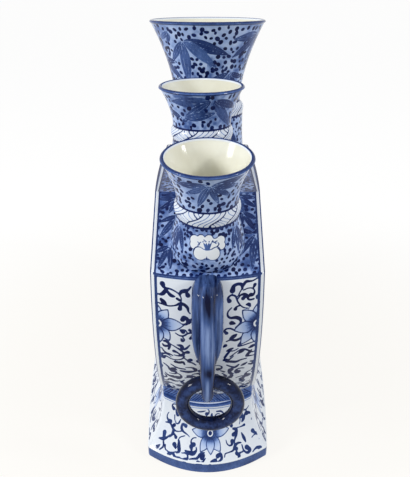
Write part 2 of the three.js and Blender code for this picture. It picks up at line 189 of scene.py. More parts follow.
class Form:
    """The vase's surfaces in millimetres, from the scene's sizes."""

    def __init__(self, context):
        for name in VASE_PG_shape.__annotations__:
            value = getattr(context.scene.vase_shape, name)
            setattr(self, name, value if name.endswith("tilt") else value / MM)
        self.bottom = self.foot_height + self.collar_height
        self.shoulder_half_length = self.end_arc(self.shoulder, 0)
        rise = self.roof - self.shoulder
        self.slope = math.atan2(rise, self.shoulder_half_length - self.roof_half_length)
        self.cell = context.scene.vase_glaze.cell / MM

    def end_arc(self, z, inset):
        centre = self.widest - self.end_radius
        return centre + np.sqrt((self.end_radius - inset) ** 2 - (z - self.widest_height) ** 2)

    def half_length(self, z, inset=0.0):
        fall = (z - self.shoulder) / math.tan(self.slope)
        on_slope = self.shoulder_half_length - fall - inset / math.sin(self.slope)
        return np.minimum(self.end_arc(z, inset), on_slope)

    def end_bow(self, z):
        low = mix(self.waist_bow, self.shoulder_bow, (z - self.bottom) / (self.shoulder - self.bottom))
        high = mix(self.shoulder_bow, self.roof_bow, (z - self.shoulder) / (self.roof - self.shoulder))
        return np.where(z > self.shoulder, high, low)

    def end_x(self, y, z, inset=0.0):
        return self.half_length(z, inset) + self.end_bow(z) * (1 - (y / self.half_depth) ** 2)

    def roof_z(self, x):
        return np.minimum(self.roof, self.roof - (x - self.roof_half_length) * math.tan(self.slope))

    def foot_sizes(self, z):
        flare = np.clip((self.foot_height - z) / (self.foot_height - self.foot_rim), 0, 1)
        t = flare ** FLARE_POWER
        return (mix(self.foot_top_half_length, self.foot_half_length, t),
                mix(self.foot_top_half_depth, self.foot_half_depth, t),
                mix(self.side_bow, self.foot_side_bow, t), mix(self.foot_top_end_bow, self.foot_end_bow, t))

    def seat(self, which, side):
        """Matrix that carries a side finger from its own axis to the roof."""
        inner = which == "inner"
        x = self.inner_seat if inner else self.outer_seat
        rise = self.inner_rise if inner else self.outer_rise
        y = -self.inner_offset if inner and side > 0 else 0
        tilt = (self.inner_tilt if inner else self.outer_tilt) * side
        return Matrix.Translation((x * side, y, self.roof_z(x) + rise)) @ Matrix.Rotation(tilt, 4, "Y")


def softened_ring(half_length, half_depth, side_bow, end_bow, edge, counts):
    """Points of a level ring with rounded corners, anticlockwise from the right end's low-Y corner."""
    ends, corners, sides = counts

    def end(y):
        return half_length + end_bow * (1 - (y / half_depth) ** 2)

    def side(x):
        return half_depth + side_bow * (1 - (x / half_length) ** 2)
    y = np.linspace(-(half_depth - edge), half_depth - edge, ends, endpoint=False)
    x = np.linspace(half_length - edge, -(half_length - edge), sides, endpoint=False)
    a = np.array([end(half_depth - edge), half_depth - edge])
    b = np.array([half_length - edge, side(half_length - edge)])
    c = mix((a + b) / 2, np.array([a[0], b[1]]), CORNER_FULLNESS)
    t = np.linspace(0, 1, corners, endpoint=False)[:, None]
    corner = (1 - t) ** 2 * a + 2 * t * (1 - t) * c + t * t * b
    back = (1 - t) ** 2 * b + 2 * t * (1 - t) * c + t * t * a
    half = np.concatenate([np.stack([end(y), y], 1), corner, np.stack([x, side(x)], 1),
                           back * [-1, 1]])
    return np.concatenate([half, -half])


def smooth_path(points, count):
    """A Catmull-Rom curve through control points of any dimension."""
    p = np.asarray(points, float)
    p = np.concatenate([[2 * p[0] - p[1]], p, [2 * p[-1] - p[-2]]])
    t = np.linspace(0, len(p) - 3 - 1e-9, count)
    i = t.astype(int)
    f = (t - i)[:, None]
    a, b, c, d = p[i], p[i + 1], p[i + 2], p[i + 3]
    return 0.5 * (2 * b + (c - a) * f + (2 * a - 5 * b + 4 * c - d) * f ** 2
                  + (3 * b - a - 3 * c + d) * f ** 3)


# Drawings

def hand_noise(shape, cell, seed):
    """Smooth values from 0 to 1 that vary over cell samples."""
    rng = np.random.default_rng(seed)
    rows, cols = shape
    coarse = rng.random((int(rows / cell) + 3, int(cols / cell) + 3))
    y, x = np.arange(rows) / cell, np.arange(cols) / cell
    i, j = y.astype(int), x.astype(int)
    fy, fx = y - i, x - j
    fy, fx = (fy * fy * (3 - 2 * fy))[:, None], (fx * fx * (3 - 2 * fx))[None]
    top = mix(coarse[np.ix_(i, j)], coarse[np.ix_(i, j + 1)], fx)
    low = mix(coarse[np.ix_(i + 1, j)], coarse[np.ix_(i + 1, j + 1)], fx)
    return mix(top, low, fy)


def to_line(dx, dy, start, end):
    """How far places are from a line, and how far along it the nearest point lies, from 0 to 1."""
    ax, ay = start
    ux, uy = end[0] - ax, end[1] - ay
    h = np.clip(((dx - ax) * ux + (dy - ay) * uy) / max(ux * ux + uy * uy, 1e-9), 0, 1)
    return np.hypot(dx - ax - h * ux, dy - ay - h * uy), h


class Drawing:
    """A flat drawing in millimetres. A field is 0 outside a mark, 1 inside and 0.5 at its edge.

    stretch gives how much wider than the drawing the surface is at each height.
    """

    def __init__(self, width, height, ground, seed, stretch=None, wraps=False):
        self.width, self.height, self.wraps = width, height, wraps
        self.x = np.arange(0, width + STEP, STEP)
        self.y = np.arange(0, height + STEP, STEP)
        shape = (len(self.y), len(self.x))
        self.stretch = stretch or (lambda v: 1.0 + 0.0 * np.asarray(v, float))
        self.rng = np.random.default_rng(seed)
        self.fields = {name: np.zeros(shape, np.float32) for name in FIELDS}
        self.tones = {name: np.full(shape, tone, np.float32)
                      for name, tone in zip(TONES, (ground, LEAF_TONE, DARK_TONE))}
        cloud = hand_noise(shape, 30, seed) * 0.6 + hand_noise(shape, 9, seed + 1) * 0.4
        self.tones["ground"] *= (0.30 + 1.4 * cloud).astype(np.float32)

    def windows(self, centre, low, high):
        """Each part of the drawing between two corners, with its places about centre in true mm."""
        shifts = (-self.width, 0, self.width) if self.wraps else (0,)
        for shift in shifts:
            i0, i1 = np.searchsorted(self.x, [low[0] + shift, high[0] + shift])
            j0, j1 = np.searchsorted(self.y, [low[1], high[1]])
            if i1 <= i0 or j1 <= j0:
                continue
            v = self.y[j0:j1]
            dx = (self.x[None, i0:i1] - centre[0] - shift) * self.stretch(v)[:, None]
            yield (slice(j0, j1), slice(i0, i1)), dx, np.broadcast_to((v - centre[1])[:, None], dx.shape)

    def put(self, at, points, distance, field, tone=None, cut=(), tone_name=None):
        """Lays a mark. points bound it about at, and distance gives mm from its edge, negative inside."""
        points = np.asarray(points, float)
        squeeze = float(np.min(self.stretch(np.clip(at[1] + points[:, 1], 0, self.height))))
        (left, bottom), (right, top) = points.min(0) - MARK_MARGIN, points.max(0) + MARK_MARGIN
        low, high = (at[0] + left / squeeze, at[1] + bottom), (at[0] + right / squeeze, at[1] + top)
        for window, dx, dy in self.windows(at, low, high):
            sd = distance(dx, dy)
            value = np.clip(0.5 - sd / (2 * SOFT), 0, 1)
            for other in cut:
                held = self.fields[other]
                held[window] = np.minimum(held[window], 1 - value)
            if field:
                held = self.fields[field]
                held[window] = np.maximum(held[window], value)
            if tone is not None:
                held = self.tones[tone_name or field]
                near = sd < (TONE_REACH if field else WASH_REACH)
                tone_value = tone(dx, dy) if callable(tone) else tone
                held[window] = np.where(near, tone_value, held[window])

    def stroke(self, at, points, widths, field="dark", tone=None):
        """A brush mark along a smooth path whose full width changes on the way."""
        control = np.asarray(points, float)
        widths = np.broadcast_to(np.asarray(widths, float), (len(control),))
        count = max(6, int(np.abs(np.diff(control, axis=0)).sum() / 1.1))
        path = smooth_path(np.concatenate([control, widths[:, None]], 1), min(count, 60))
        half = np.maximum(path[:, 2], 0.3) / 2

        def distance(dx, dy):
            best = np.full(dx.shape, 1e3)
            for k in range(len(path) - 1):
                away, h = to_line(dx, dy, path[k, :2], path[k + 1, :2])
                best = np.minimum(best, away - mix(half[k], half[k + 1], h))
            return best
        bounds = np.concatenate([path[:, :2] - half.max(), path[:, :2] + half.max()])
        self.put(at, bounds, distance, field, tone)

    def shape(self, at, outline, field, tone=None, cut=(), tone_name=None, ring=0.0):
        """A filled outline, or only a line of width ring along it."""
        p = np.asarray(outline, float)
        q = np.roll(p, -1, 0)

        def distance(dx, dy):
            best = np.full(dx.shape, 1e3)
            inside = np.zeros(dx.shape, bool)
            for (ax, ay), (bx, by) in zip(p, q):
                best = np.minimum(best, to_line(dx, dy, (ax, ay), (bx, by))[0])
                if ay != by:
                    inside ^= ((ay > dy) != (by > dy)) & (dx < (bx - ax) * (dy - ay) / (by - ay) + ax)
            return best - ring / 2 if ring else np.where(inside, -best, best)
        self.put(at, np.concatenate([p - ring, p + ring]), distance, field, tone, cut, tone_name)

    def dot(self, at, radius, slant=1.0, turn=0.0, field="dark", tone=None, cut=()):
        c, s = math.cos(turn), math.sin(turn)

        def distance(dx, dy):
            a, b = dx * c + dy * s, (dy * c - dx * s) * slant
            return np.hypot(a, b) - radius
        self.put(at, [(-radius, -radius), (radius, radius)], distance, field, tone, cut)

    def loaded(self):
        """The tone of a mark by a brush that is more or less full."""
        return 0.84 + 0.12 * self.rng.random()

    def sample(self, kind, u, v):
        """A field or tone at places on the drawing."""
        held = self.fields[kind] if kind in FIELDS else self.tones[kind[1:]]
        u = np.mod(u, self.width) if self.wraps else np.clip(u, 0, self.width)
        x = np.clip(u / STEP, 0, held.shape[1] - 1.001)
        y = np.clip(np.clip(v, 0, self.height) / STEP, 0, held.shape[0] - 1.001)
        i, j = x.astype(int), y.astype(int)
        fx, fy = x - i, y - j
        return mix(mix(held[j, i], held[j, i + 1], fx), mix(held[j + 1, i], held[j + 1, i + 1], fx), fy)

    def paint(self, u, v):
        """All fields and tones at places on the drawing."""
        paint = {name: self.sample(name, u, v) for name in FIELDS}
        paint.update({"+" + name: self.sample("+" + name, u, v) for name in TONES})
        return paint


def blank_paint(shape):
    paint = {name: np.zeros(shape) for name in FIELDS}
    paint.update({"+" + name: np.full(shape, tone) for name, tone in zip(TONES, (0, LEAF_TONE, DARK_TONE))})
    return paint


def band(paint, distance, low, high, tone=None):
    """A cobalt line between two distances from an edge, over what is painted there, or a bare one."""
    field = "white" if tone is None else "dark"
    outside = np.abs(distance - (low + high) / 2) - (high - low) / 2
    value = np.clip(0.5 - outside / (2 * SOFT), 0, 1)
    for name in FIELDS:
        if name != field:
            paint[name] = np.minimum(paint[name], 1 - value)
    paint[field] = np.maximum(paint[field], value)
    if tone is not None:
        paint["+dark"] = np.where(outside < 1, tone, paint["+dark"])


# Meshes

SHARP_ANGLE = 38  # faces that meet at more degrees than this show a sharp edge


def put_in_scene(name, data):
    made = bpy.data.objects.new(name, data)
    bpy.context.scene.collection.objects.link(made)
    return made


def mesh_piece(name, vertices, quads, triangles, paint=None, uv=None, material_index=None):
    """A mesh object from arrays in millimetres, with its paint as two colour attributes."""
    quads = np.asarray(quads, np.int64).reshape(-1, 4)
    triangles = np.asarray(triangles, np.int64).reshape(-1, 3)
    mesh = bpy.data.meshes.new(name)
    mesh.vertices.add(len(vertices))
    mesh.vertices.foreach_set("co", (np.asarray(vertices, float) * MM).astype(np.float32).ravel())
    loops = np.concatenate([quads.ravel(), triangles.ravel()]).astype(np.int32)
    mesh.loops.add(len(loops))
    mesh.loops.foreach_set("vertex_index", loops)
    mesh.polygons.add(len(quads) + len(triangles))
    starts = np.concatenate([np.arange(len(quads)) * 4, len(quads) * 4 + np.arange(len(triangles)) * 3])
    mesh.polygons.foreach_set("loop_start", starts.astype(np.int32))
    if material_index is not None:
        mesh.polygons.foreach_set("material_index", np.asarray(material_index, np.int32))
    mesh.update(calc_edges=True)
    if paint is not None:
        marks = np.stack([paint[n] for n in FIELDS], -1).reshape(-1, 4)
        tones = np.stack([paint["+" + n] for n in TONES] + [np.ones_like(paint["dark"])], -1).reshape(-1, 4)
        for label, values in (("brush_marks", marks), ("cobalt_tones", tones)):
            held = mesh.color_attributes.new(label, "FLOAT_COLOR", "POINT")
            held.data.foreach_set("color", values.astype(np.float32).ravel())
    if uv is not None:
        layer = mesh.uv_layers.new(name="OFBake")
        layer.data.foreach_set("uv", np.asarray(uv, np.float32).ravel())
    mesh.shade_smooth()
    mesh.set_sharp_from_angle(angle=math.radians(SHARP_ANGLE))
    return put_in_scene(name, mesh)


def grid_faces(rows, cols, start, wraps, flip=False):
    i = np.arange(rows - 1)[:, None]
    j = np.arange(cols if wraps else cols - 1)[None]
    a = start + i * cols + j
    b = start + i * cols + (j + 1) % cols
    quads = np.stack([a, b, b + cols, a + cols], -1).reshape(-1, 4)
    return quads[:, ::-1] if flip else quads


def grid_uv(rows, cols, wraps, low, high, flip=False):
    across, up = (cols if wraps else cols - 1), rows - 1
    i, j = np.meshgrid(np.arange(up), np.arange(across), indexing="ij")
    corners = [(j, i), (j + 1, i), (j + 1, i + 1), (j, i + 1)]
    uv = np.stack([np.stack([0.002 + 0.996 * x / across, mix(low, high, y / up)], -1)
                   for x, y in corners], -2).reshape(-1, 4, 2)
    return (uv[:, ::-1] if flip else uv).reshape(-1, 2)


def stitch(fine, coarse, flip, low, high):
    """Triangles between a border and one of fewer points that keeps pace with it."""
    ratio = (len(fine) - 1) // (len(coarse) - 1)
    triangles, uv = [], []
    total = len(fine) - 1
    for k in range(len(coarse) - 1):
        for i in range(k * ratio, (k + 1) * ratio):
            triangles.append((fine[i], fine[i + 1], coarse[k]))
            uv.append(((i / total, low), ((i + 1) / total, low), (k * ratio / total, high)))
        i = (k + 1) * ratio
        triangles.append((fine[i], coarse[k + 1], coarse[k]))
        uv.append(((i / total, low), (i / total, high), (k * ratio / total, high)))
    triangles, uv = np.array(triangles), np.array(uv, float)
    if flip:
        triangles, uv = triangles[:, ::-1], uv[:, ::-1]
    return triangles, uv.reshape(-1, 2)


def clay_wall(name, outer, inner, paint, wraps, rim=0):
    """A closed wall with a finely pointed painted outside and a coarse inside.

    Rows run so that columns x rows face outwards. Each border of the inside keeps pace with the outside's.
    rim is the material of the strips that join the two.
    """
    rows, cols = outer.shape[:2]
    in_rows, in_cols = inner.shape[:2]
    start = rows * cols
    out_id = np.arange(start).reshape(rows, cols)
    in_id = start + np.arange(in_rows * in_cols).reshape(in_rows, in_cols)
    quads = [grid_faces(rows, cols, 0, wraps), grid_faces(in_rows, in_cols, start, wraps, True)]
    uv = [grid_uv(rows, cols, wraps, *OUTSIDE_MAP), grid_uv(in_rows, in_cols, wraps, *INSIDE_MAP, True)]
    if wraps:
        out_id, in_id = (np.append(held, held[:, :1], 1) for held in (out_id, in_id))
    borders = [(out_id[0], in_id[0], True), (out_id[-1], in_id[-1], False)]
    if not wraps:
        borders += [(out_id[:, 0], in_id[:, 0], False), (out_id[:, -1], in_id[:, -1], True)]
    triangles, tri_uv = [], []
    for k, (fine, coarse, flip) in enumerate(borders):
        low = STRIP_MAP[0] + 0.01 * k
        made, places = stitch(fine, coarse, flip, low, low + 0.008)
        triangles.append(made)
        tri_uv.append(places)
    vertices = np.concatenate([outer.reshape(-1, 3), inner.reshape(-1, 3)])
    inner_paint = blank_paint((in_rows, in_cols))
    both = {key: np.concatenate([paint[key].ravel(), inner_paint[key].ravel()]) for key in paint}
    quads, triangles = np.concatenate(quads), np.concatenate(triangles)
    index = np.zeros(len(quads) + len(triangles), int)
    index[(rows - 1) * (cols if wraps else cols - 1):len(quads)] = 1
    index[len(quads):] = rim
    return mesh_piece(name, vertices, quads, triangles, both, np.concatenate(uv + tri_uv), index)


def pierced_wall(name, outer, inner, paint, keep):
    """A closed wall whose inside repeats the outside point for point, without the quads that keep drops."""
    rows, cols = outer.shape[:2]
    faces = grid_faces(rows, cols, 0, False)
    uv = grid_uv(rows, cols, False, *OUTSIDE_MAP).reshape(-1, 4, 2)
    kept = keep.ravel()
    faces, uv = faces[kept], uv[kept]
    edges = np.concatenate([np.stack([faces[:, k], faces[:, (k + 1) % 4]], 1) for k in range(4)])
    key = np.sort(edges, 1)
    _, first, count = np.unique(key[:, 0] * rows * cols + key[:, 1], return_index=True, return_counts=True)
    rim = edges[first[count == 1]]
    shift = rows * cols
    walls = np.stack([rim[:, 1], rim[:, 0], rim[:, 0] + shift, rim[:, 1] + shift], 1)
    inside = faces[:, ::-1] + shift
    in_uv = uv[:, ::-1] * [1, 0.05] + [0, INSIDE_MAP[0]]
    place = np.linspace(0, 1, len(walls) + 1)
    low, high = STRIP_MAP
    wall_uv = np.stack([np.stack([across, np.full(len(walls), up)], 1) for across, up in
                        ((place[:-1], low), (place[1:], low), (place[1:], high), (place[:-1], high))], 1)
    quads = np.concatenate([faces, inside, walls])
    places = np.concatenate([uv, in_uv, wall_uv]).reshape(-1, 2)
    vertices = np.concatenate([outer.reshape(-1, 3), inner.reshape(-1, 3)])
    used, flat = np.unique(quads, return_inverse=True)
    both = {key: np.concatenate([paint[key].ravel()] * 2)[used] for key in paint}
    index = np.zeros(len(quads), int)
    index[len(faces):2 * len(faces)] = 1
    return mesh_piece(name, vertices[used], flat.reshape(-1, 4), [], both, places, index)


# Materials

def add(tree, kind, inputs=None, stops=(), **settings):
    """Adds a node with its settings. Its inputs, by name or number, are values or other nodes' sockets.

    stops are the places and colours of a colour ramp.
    """
    node = tree.nodes.new(kind)
    for key, value in settings.items():
        setattr(node, key, value)
    for key, value in (inputs or {}).items():
        if isinstance(value, bpy.types.NodeSocket):
            tree.links.new(value, node.inputs[key])
        else:
            node.inputs[key].default_value = value
    for _ in stops[2:]:
        node.color_ramp.elements.new(0.5)
    for k, (place, value) in enumerate(stops):
        node.color_ramp.elements[k].position = place
        node.color_ramp.elements[k].color = value
    return node


def new_material(name):
    material = bpy.data.materials.new(name)
    material.use_nodes = True
    material.node_tree.nodes.clear()
    return material, material.node_tree


def glaze_surface(tree, glaze, base, place):
    """Clear feldspar glaze: glassy, with the faint unevenness of a dipped and fired coat."""
    # Swells about 18 mm across and less than a tenth of a millimetre high
    swell = add(tree, "ShaderNodeTexNoise", {"Vector": place, "Scale": 55.0, "Detail": 2.0})
    bump = add(tree, "ShaderNodeBump",
               {"Height": swell.outputs["Fac"], "Strength": 0.07, "Distance": 0.0011})
    shader = add(tree, "ShaderNodeBsdfPrincipled",
                 {"Base Color": base, "Normal": bump.outputs["Normal"], "Roughness": glaze.gloss,
                  "IOR": 1.45, "Specular IOR Level": 0.15})
    add(tree, "ShaderNodeOutputMaterial", {"Surface": shader.outputs["BSDF"]})


def painted_porcelain(glaze):
    """Porcelain brush-painted with cobalt under a clear dipped glaze.

    The cobalt gives crisp marks with softly uneven depth, the glaze a wet, even gloss.
    """
    material, tree = new_material("Cobalt-painted porcelain under dipped clear glaze")
    place = add(tree, "ShaderNodeTexCoord").outputs["Object"]
    marks = add(tree, "ShaderNodeVertexColor", layer_name="brush_marks").outputs
    tones = add(tree, "ShaderNodeVertexColor", layer_name="cobalt_tones").outputs
    mark = add(tree, "ShaderNodeSeparateColor", {"Color": marks["Color"]}).outputs
    tone = add(tree, "ShaderNodeSeparateColor", {"Color": tones["Color"]}).outputs
    density = tone["Red"]
    for field, level in ((mark["Green"], tone["Green"]), (mark["Blue"], PALE_TONE), (marks["Alpha"], 0.0),
                         (mark["Red"], tone["Blue"])):
        crisp = add(tree, "ShaderNodeMapRange", {"Value": field, "From Min": 0.40, "From Max": 0.60},
                    interpolation_type="SMOOTHSTEP")
        chosen = add(tree, "ShaderNodeMix", {"Factor": crisp.outputs["Result"], 2: density, 3: level},
                     data_type="FLOAT")
        density = chosen.outputs[0]
    # Brush streaks about 1.5 mm across, and pooling over about 8 mm
    streak = add(tree, "ShaderNodeTexNoise",
                 {"Vector": place, "Scale": 620.0, "Detail": 3.0, "Roughness": 0.6})
    pool = add(tree, "ShaderNodeTexNoise", {"Vector": place, "Scale": 120.0, "Detail": 1.0})
    uneven = add(tree, "ShaderNodeMath", {0: streak.outputs["Fac"], 1: pool.outputs["Fac"]},
                 operation="ADD")
    swing = add(tree, "ShaderNodeMapRange",
                {"Value": uneven.outputs["Value"], "From Min": 0.6, "From Max": 1.4, "To Min": 0.86,
                 "To Max": 1.14})
    varied = add(tree, "ShaderNodeMath", {0: density, 1: swing.outputs["Result"]}, operation="MULTIPLY")
    # From bare porcelain to heaped cobalt
    base = add(tree, "ShaderNodeValToRGB", {"Fac": varied.outputs["Value"]},
               ((0.0, glaze.porcelain), (0.13, glaze.faint), (0.34, glaze.ground), (0.52, glaze.middle),
                (0.67, glaze.leaf), (0.84, glaze.deep), (1.0, glaze.heavy)))
    glaze_surface(tree, glaze, base.outputs["Color"], place)
    return material


def cream_glaze(glaze):
    """Clear glaze over unpainted clay: a warm off-white, a little darker where it pooled."""
    material, tree = new_material("Cream clear glaze, unpainted inside")
    place = add(tree, "ShaderNodeTexCoord").outputs["Object"]
    # Pools about 30 mm across
    pool = add(tree, "ShaderNodeTexNoise",
               {"Vector": place, "Scale": 30.0, "Detail": 4.0, "Roughness": 0.55})
    base = add(tree, "ShaderNodeValToRGB", {"Fac": pool.outputs["Fac"]},
               ((0.35, colour("#DCDAC8")), (0.65, glaze.inside)))
    glaze_surface(tree, glaze, base.outputs["Color"], place)
    return material


def heaped_glaze_with_painted_light(name, glaze, stretch, scale, stops):
    """Cobalt glaze over the whole piece, pale where it lies thin and near black where it is heaped, with
    the light and shade painted into the stored heap.
    """
    material, tree = new_material(name)
    place = add(tree, "ShaderNodeTexCoord").outputs["Object"]
    heap = add(tree, "ShaderNodeVertexColor", layer_name="cobalt_heap")
    flow = add(tree, "ShaderNodeMapping", {"Vector": place, "Scale": stretch})
    run = add(tree, "ShaderNodeTexNoise",
              {"Vector": flow.outputs["Vector"], "Scale": scale, "Detail": 3.0, "Roughness": 0.6})
    both = add(tree, "ShaderNodeMath", {0: heap.outputs["Color"], 1: run.outputs["Fac"]}, operation="ADD")
    depth = add(tree, "ShaderNodeMapRange",
                {"Value": both.outputs["Value"], "From Min": 0.55, "From Max": 1.45})
    base = add(tree, "ShaderNodeValToRGB", {"Fac": depth.outputs["Result"]},
               [(at, colour(tone)) for at, tone in stops])
    glaze_surface(tree, glaze, base.outputs["Color"], place)
    return material


MATERIALS = {}


def materials(context):
    """The vase's finishes, made once."""
    if MATERIALS:
        return
    glaze = context.scene.vase_glaze
    MATERIALS["painted"] = painted_porcelain(glaze)
    MATERIALS["inside"] = cream_glaze(glaze)
    # Brushed on thickly and run downwards, in runs about 2.5 mm across and many times as long
    MATERIALS["handle"] = heaped_glaze_with_painted_light("Run cobalt glaze, brushed", glaze, (0.15, 1, 0.07), 400.0,
                                       ((0.1, "#8096C4"), (0.45, "#40588C"), (0.92, "#02082E")))
    # Dipped twice, which leaves a navy glaze, mottled over about 4 mm; lighter on the crest, as thinner
    # glaze and painted light, and darker towards the rims as painted shade
    MATERIALS["ring"] = heaped_glaze_with_painted_light("Navy cobalt glaze, dipped twice", glaze, (1, 1, 1), 240.0,
                                     ((0.1, "#34497C"), (0.45, "#121E42"), (0.92, "#04071A")))


def settle(piece, looks=("painted", "inside"), body="vase"):
    """Glazes a piece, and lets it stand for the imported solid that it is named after."""
    for name in looks:
        piece.data.materials.append(MATERIALS[name])
    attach(piece, body)
    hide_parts(piece.name.lower())


# Marks of the brush

# Strokes of the scrolls: (across, up, full width) along each, in mm
LEFT_SCROLL = (
    ((-33, 130.5, 4.8), (-31.5, 127.8, 2.4), (-27, 127.3, 1.7), (-22, 125, 1.4), (-19.4, 121.5, 1.3),
     (-19.2, 118, 1.1)),
    ((-38.5, 122.5, 1.6), (-36, 121.8, 1.8), (-33.3, 122.5, 3.4), (-31, 125.3, 3.4), (-29.5, 127, 1.8)),
    ((-29.6, 125.5, 2.2), (-27.8, 123, 3.2), (-26, 122, 3.2), (-24, 121.8, 1.4)),
    ((-20, 123.5, 1.6), (-19.2, 126, 3.2), (-16.4, 127, 3.6), (-14, 128, 2.2), (-12, 130.5, 1.6)),
    ((-14.3, 123.7, 4.4), (-15.6, 126.5, 1.8)), ((-22.4, 120.3, 2.4), (-20.2, 119, 2.2)),
    ((-38, 115, 1.2), (-34.5, 114.3, 1.5), (-29, 113.4, 1.5), (-24, 114.5, 1.5), (-20.5, 116.3, 2.8),
     (-17.5, 116.2, 3), (-14.8, 113.8, 2.8), (-14, 110.5, 1.6), (-12.6, 108.8, 1.2)),
    ((-34.3, 117.8, 3), (-32.3, 115.8, 4.2), (-30.6, 114.4, 1.6)),
    ((-20.4, 112.3, 4.2), (-19.6, 115.3, 2)),
    ((-18.6, 103, 4.2), (-17.5, 105.3, 3.6), (-15, 103.8, 3.6), (-14.6, 101, 3.2), (-16.4, 99.2, 2.4),
     (-19, 99, 1.6)), ((-15.5, 99.8, 2), (-13, 101, 1.8), (-12.2, 104.3, 1.6), (-10, 104.5, 1.2)),
    ((-24.5, 90, 1.2), (-21, 88, 1.7), (-17.6, 88.5, 1.8), (-14.8, 91, 1.8), (-10.5, 92, 1.3)),
    ((-18.5, 91.8, 4), (-20.3, 93.5, 1.8), (-17, 94, 1.4), (-15.4, 92, 1.3)),
    ((-13.4, 94.3, 3), (-11.4, 91, 1.4), (-12, 88.2, 2.2), (-13, 86.2, 2.8)),
    ((-20, 85, 1.8), (-19.2, 82.8, 2.8), (-17.6, 84.6, 1.6), (-19.2, 87.5, 1.2)),
    ((-34, 79.3, 1.8), (-31.5, 79.8, 3.8), (-29.2, 76, 2.4), (-30.4, 71.5, 2.2)),
    ((-35, 76, 1.6), (-33.5, 74.2, 3), (-31.2, 75, 2.6), (-29, 76, 1.6)),
    ((-28.8, 78, 1.2), (-24.7, 75.5, 1.6), (-21.4, 73.4, 2.4), (-18.5, 70.5, 2.2)),
    ((-23.2, 78, 1.6), (-20.2, 77.5, 4), (-19, 74.5, 3), (-16.4, 75.5, 2.4), (-13.6, 79.5, 1.4)),
    ((-15.3, 71.6, 4.2), (-18, 70.2, 2.2), (-19.5, 67.5, 3.6), (-23, 65.8, 2), (-26, 66, 1.4)),
    ((-26, 70.5, 3.8), (-23.6, 69.5, 2.2), (-21, 67.5, 2)),
    ((-36, 71.5, 1.4), (-34.5, 68.5, 1.8), (-32.5, 66.5, 2.4), (-29.5, 66, 2), (-27.5, 64.8, 1.4)),
    ((-35.2, 60, 4), (-33, 62.5, 2), (-29, 60.5, 1.6), (-25, 60.3, 1.5), (-20.6, 62.3, 1.6),
     (-18, 66, 1.6)), ((-13.3, 62.8, 4.2), (-15.8, 62, 2.2), (-18, 64, 1.6)),
    ((-15.6, 60, 1.4), (-12, 59.3, 2.2), (-9.3, 57, 1.6)),
    ((-25.6, 57.5, 3.4), (-22, 57.6, 3.6), (-19.3, 59, 2.6), (-18.3, 56, 2)),
    ((-29.3, 53, 1.6), (-24.5, 49.8, 2.4), (-18, 49.5, 2)),
    ((-35.5, 52, 1.6), (-32, 48.5, 2.2), (-31, 44, 1.6)),
    ((-21.5, 46, 2.6), (-16.3, 46, 4), (-12, 47.5, 3), (-8.5, 49, 1.8)),
    ((-29.8, 46, 2.6), (-27.3, 47.6, 3.6), (-25, 46.3, 2)),
)
